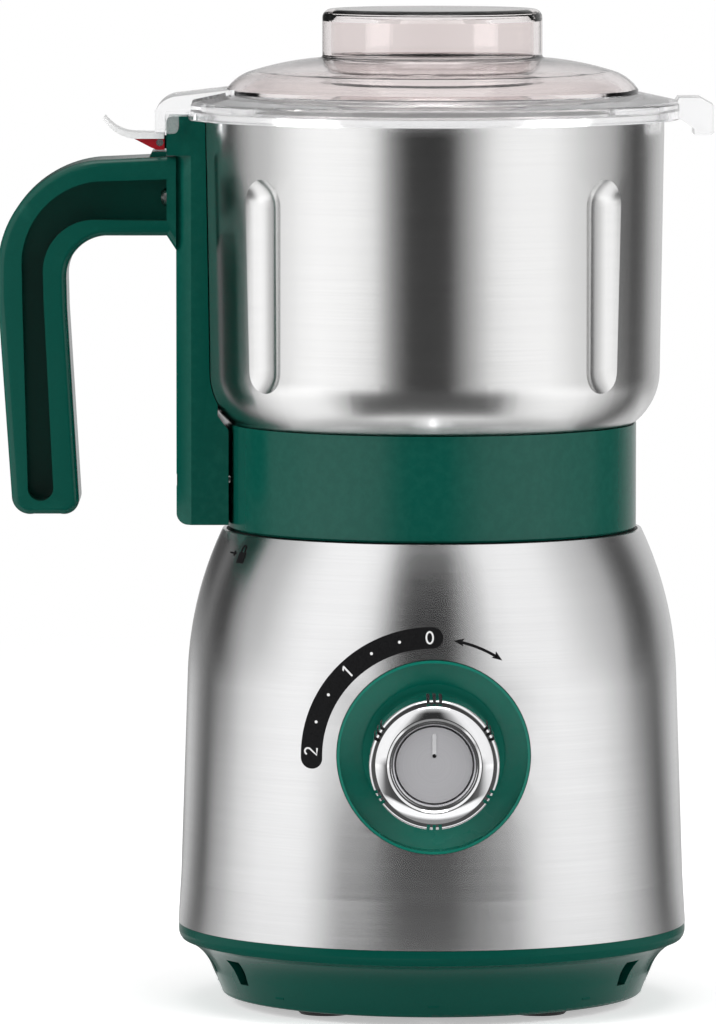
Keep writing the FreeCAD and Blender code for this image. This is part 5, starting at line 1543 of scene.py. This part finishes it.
@dataclass
class Studio:
    """Pale floor, even world, soft boxes and the dark cloth."""

    floor_size: float = 60.0
    floor_tone: float = 0.9
    floor_lift: float = 0.42
    floor_near: float = 0.4
    floor_far: float = 1.1
    world_level: float = 0.34
    cloth_tone: float = 0.004
    lamps: tuple[Lamp, ...] = (
        Lamp("left_box", -64.0, 20.0, 1.9, 1.1, 1.7, 27.0),
        Lamp("right_box", 62.0, 20.0, 1.9, 1.1, 1.7, 26.0),
        Lamp("top_box", 0.0, 80.0, 1.9, 1.2, 1.2, 9.0, mirrored=True),
    )
    # The two innermost rows lay a dark ring on the floor at the mill's foot: painted contact shadow in the
    # skirt's and housing's reflections
    tent: Tent = Tent("dark_cloth", (
        (0.073, 0.0005, FOOT_PAINTED_SHADE), (0.112, 0.0005, FOOT_PAINTED_SHADE), (0.122, 0.0005, NEAR), (0.15, 0.0005, NEAR),
        (0.165, 0.0005, GROUND), (0.45, 0.0005, GROUND), (0.45, 0.04, WIDE), (0.45, 0.09, NARROW),
        (0.45, 0.15, UPPER), (0.45, 0.55, UPPER), (0.45, 0.75, HIGH), (0.45, 1.0, OPEN)))

    def build(self) -> None:
        """Put up the studio."""
        self.build_floor()
        self.build_world()
        for lamp in self.lamps:
            lamp.build()
        self.tent.build(self.cloth())

    def cloth(self) -> bpy.types.Material:
        """Dark cloth, clear where the point attribute veil is 0.

        Returns:
            The material.
        """
        material = bpy.data.materials.new("dark_cloth")
        graph = fresh_graph(material)
        mix = graph.add("ShaderNodeMixShader")
        graph.link(graph.add("ShaderNodeAttribute", attribute_name="veil").outputs["Fac"], mix.inputs[0])
        graph.link(graph.add("ShaderNodeBsdfTransparent").outputs[0], mix.inputs[1])
        dark = graph.add("ShaderNodeBsdfDiffuse")
        dark.inputs["Color"].default_value = (self.cloth_tone, self.cloth_tone, self.cloth_tone, 1.0)
        graph.link(dark.outputs[0], mix.inputs[2])
        out = graph.add("ShaderNodeOutputMaterial")
        graph.link(mix.outputs[0], out.inputs[0])
        return material

    def build_floor(self) -> None:
        """Lay the floor that the mill stands on."""
        mesh = bpy.data.meshes.new("floor")
        form = bmesh.new()
        half = self.floor_size / 2
        corners = ((-half, -half), (half, -half), (half, half), (-half, half))
        form.faces.new([form.verts.new((x, y, 0.0)) for x, y in corners])
        form.to_mesh(mesh)
        form.free()
        floor = stand("floor", mesh)
        mesh.materials.append(self.floor_paper())

    def floor_paper(self) -> bpy.types.Material:
        """Pale paper that keeps the mill's shadow near it and shows plain white far from it.

        Returns:
            The material.
        """
        material = bpy.data.materials.new("floor_paper")
        graph = fresh_graph(material)
        paper = graph.add("ShaderNodeBsdfDiffuse")
        glow = graph.add("ShaderNodeEmission")
        seen = seen_rays(graph)
        away = graph.add("ShaderNodeVectorMath", operation="LENGTH")
        graph.link(graph.here(), away.inputs[0])
        far = graph.spread(away.outputs["Value"], self.floor_near, self.floor_far)
        lift = graph.math("ADD", self.floor_lift, graph.times(far, 1.0 - self.floor_lift))
        graph.link(graph.times(seen, lift), glow.inputs["Strength"])
        shade = graph.math("SUBTRACT", 1.0, graph.times(far, seen))
        tone = graph.times(shade, self.floor_tone)
        graph.link(graph.join(tone, tone, tone), paper.inputs["Color"])
        both = graph.add("ShaderNodeAddShader")
        graph.link(paper.outputs[0], both.inputs[0])
        graph.link(glow.outputs[0], both.inputs[1])
        out = graph.add("ShaderNodeOutputMaterial")
        graph.link(both.outputs[0], out.inputs[0])
        return material

    def build_world(self) -> None:
        """Make the world white where it is seen or mirrored, and softer where it only lights."""
        world = bpy.data.worlds.new("studio_world")
        bpy.context.scene.world = world
        graph = fresh_graph(world)
        back = graph.add("ShaderNodeBackground")
        back.inputs["Color"].default_value = (1.0, 1.0, 1.0, 1.0)
        level = graph.spread(seen_rays(graph), 0.0, 1.0, self.world_level, 1.0)
        graph.link(level, back.inputs["Strength"])
        out = graph.add("ShaderNodeOutputWorld")
        graph.link(back.outputs[0], out.inputs[0])


@dataclass(frozen=True)
class PhotoCamera:
    """Long lens at the photograph's height and distance."""

    side: float = -0.0208
    distance: float = 2.710
    height: float = 0.3578
    pitch_degrees: float = 4.64
    lens: float = 340.1
    sensor: float = 36.0
    nearest: float = 0.05
    farthest: float = 100.0

    def build(self) -> None:
        """Make the camera and choose it."""
        data = bpy.data.cameras.new("photo_camera")
        data.lens = self.lens
        data.sensor_width = self.sensor
        data.clip_start = self.nearest
        data.clip_end = self.farthest
        camera = stand("photo_camera", data)
        camera.location = (self.side, -self.distance, self.height)
        camera.rotation_euler = (math.radians(90.0 - self.pitch_degrees), 0.0, 0.0)
        bpy.context.scene.camera = camera


def main() -> None:
    """Build every sub-assembly, then the studio and the camera."""
    logging.basicConfig(level=logging.INFO, format="%(name)s: %(message)s")
    bpy.context.scene.view_settings.view_transform = "Standard"
    for assembly in (MotorBase(), ControlDial(), GrindingCup(), DriveTrain(), Lid()):
        assembly.build()
        assembly.dress()
        LOG.info("built %s", type(assembly).__name__)
    for stage in (Studio(), PhotoCamera()):
        stage.build()
        LOG.info("built %s", type(stage).__name__)


if __name__ == "__main__":
    main()
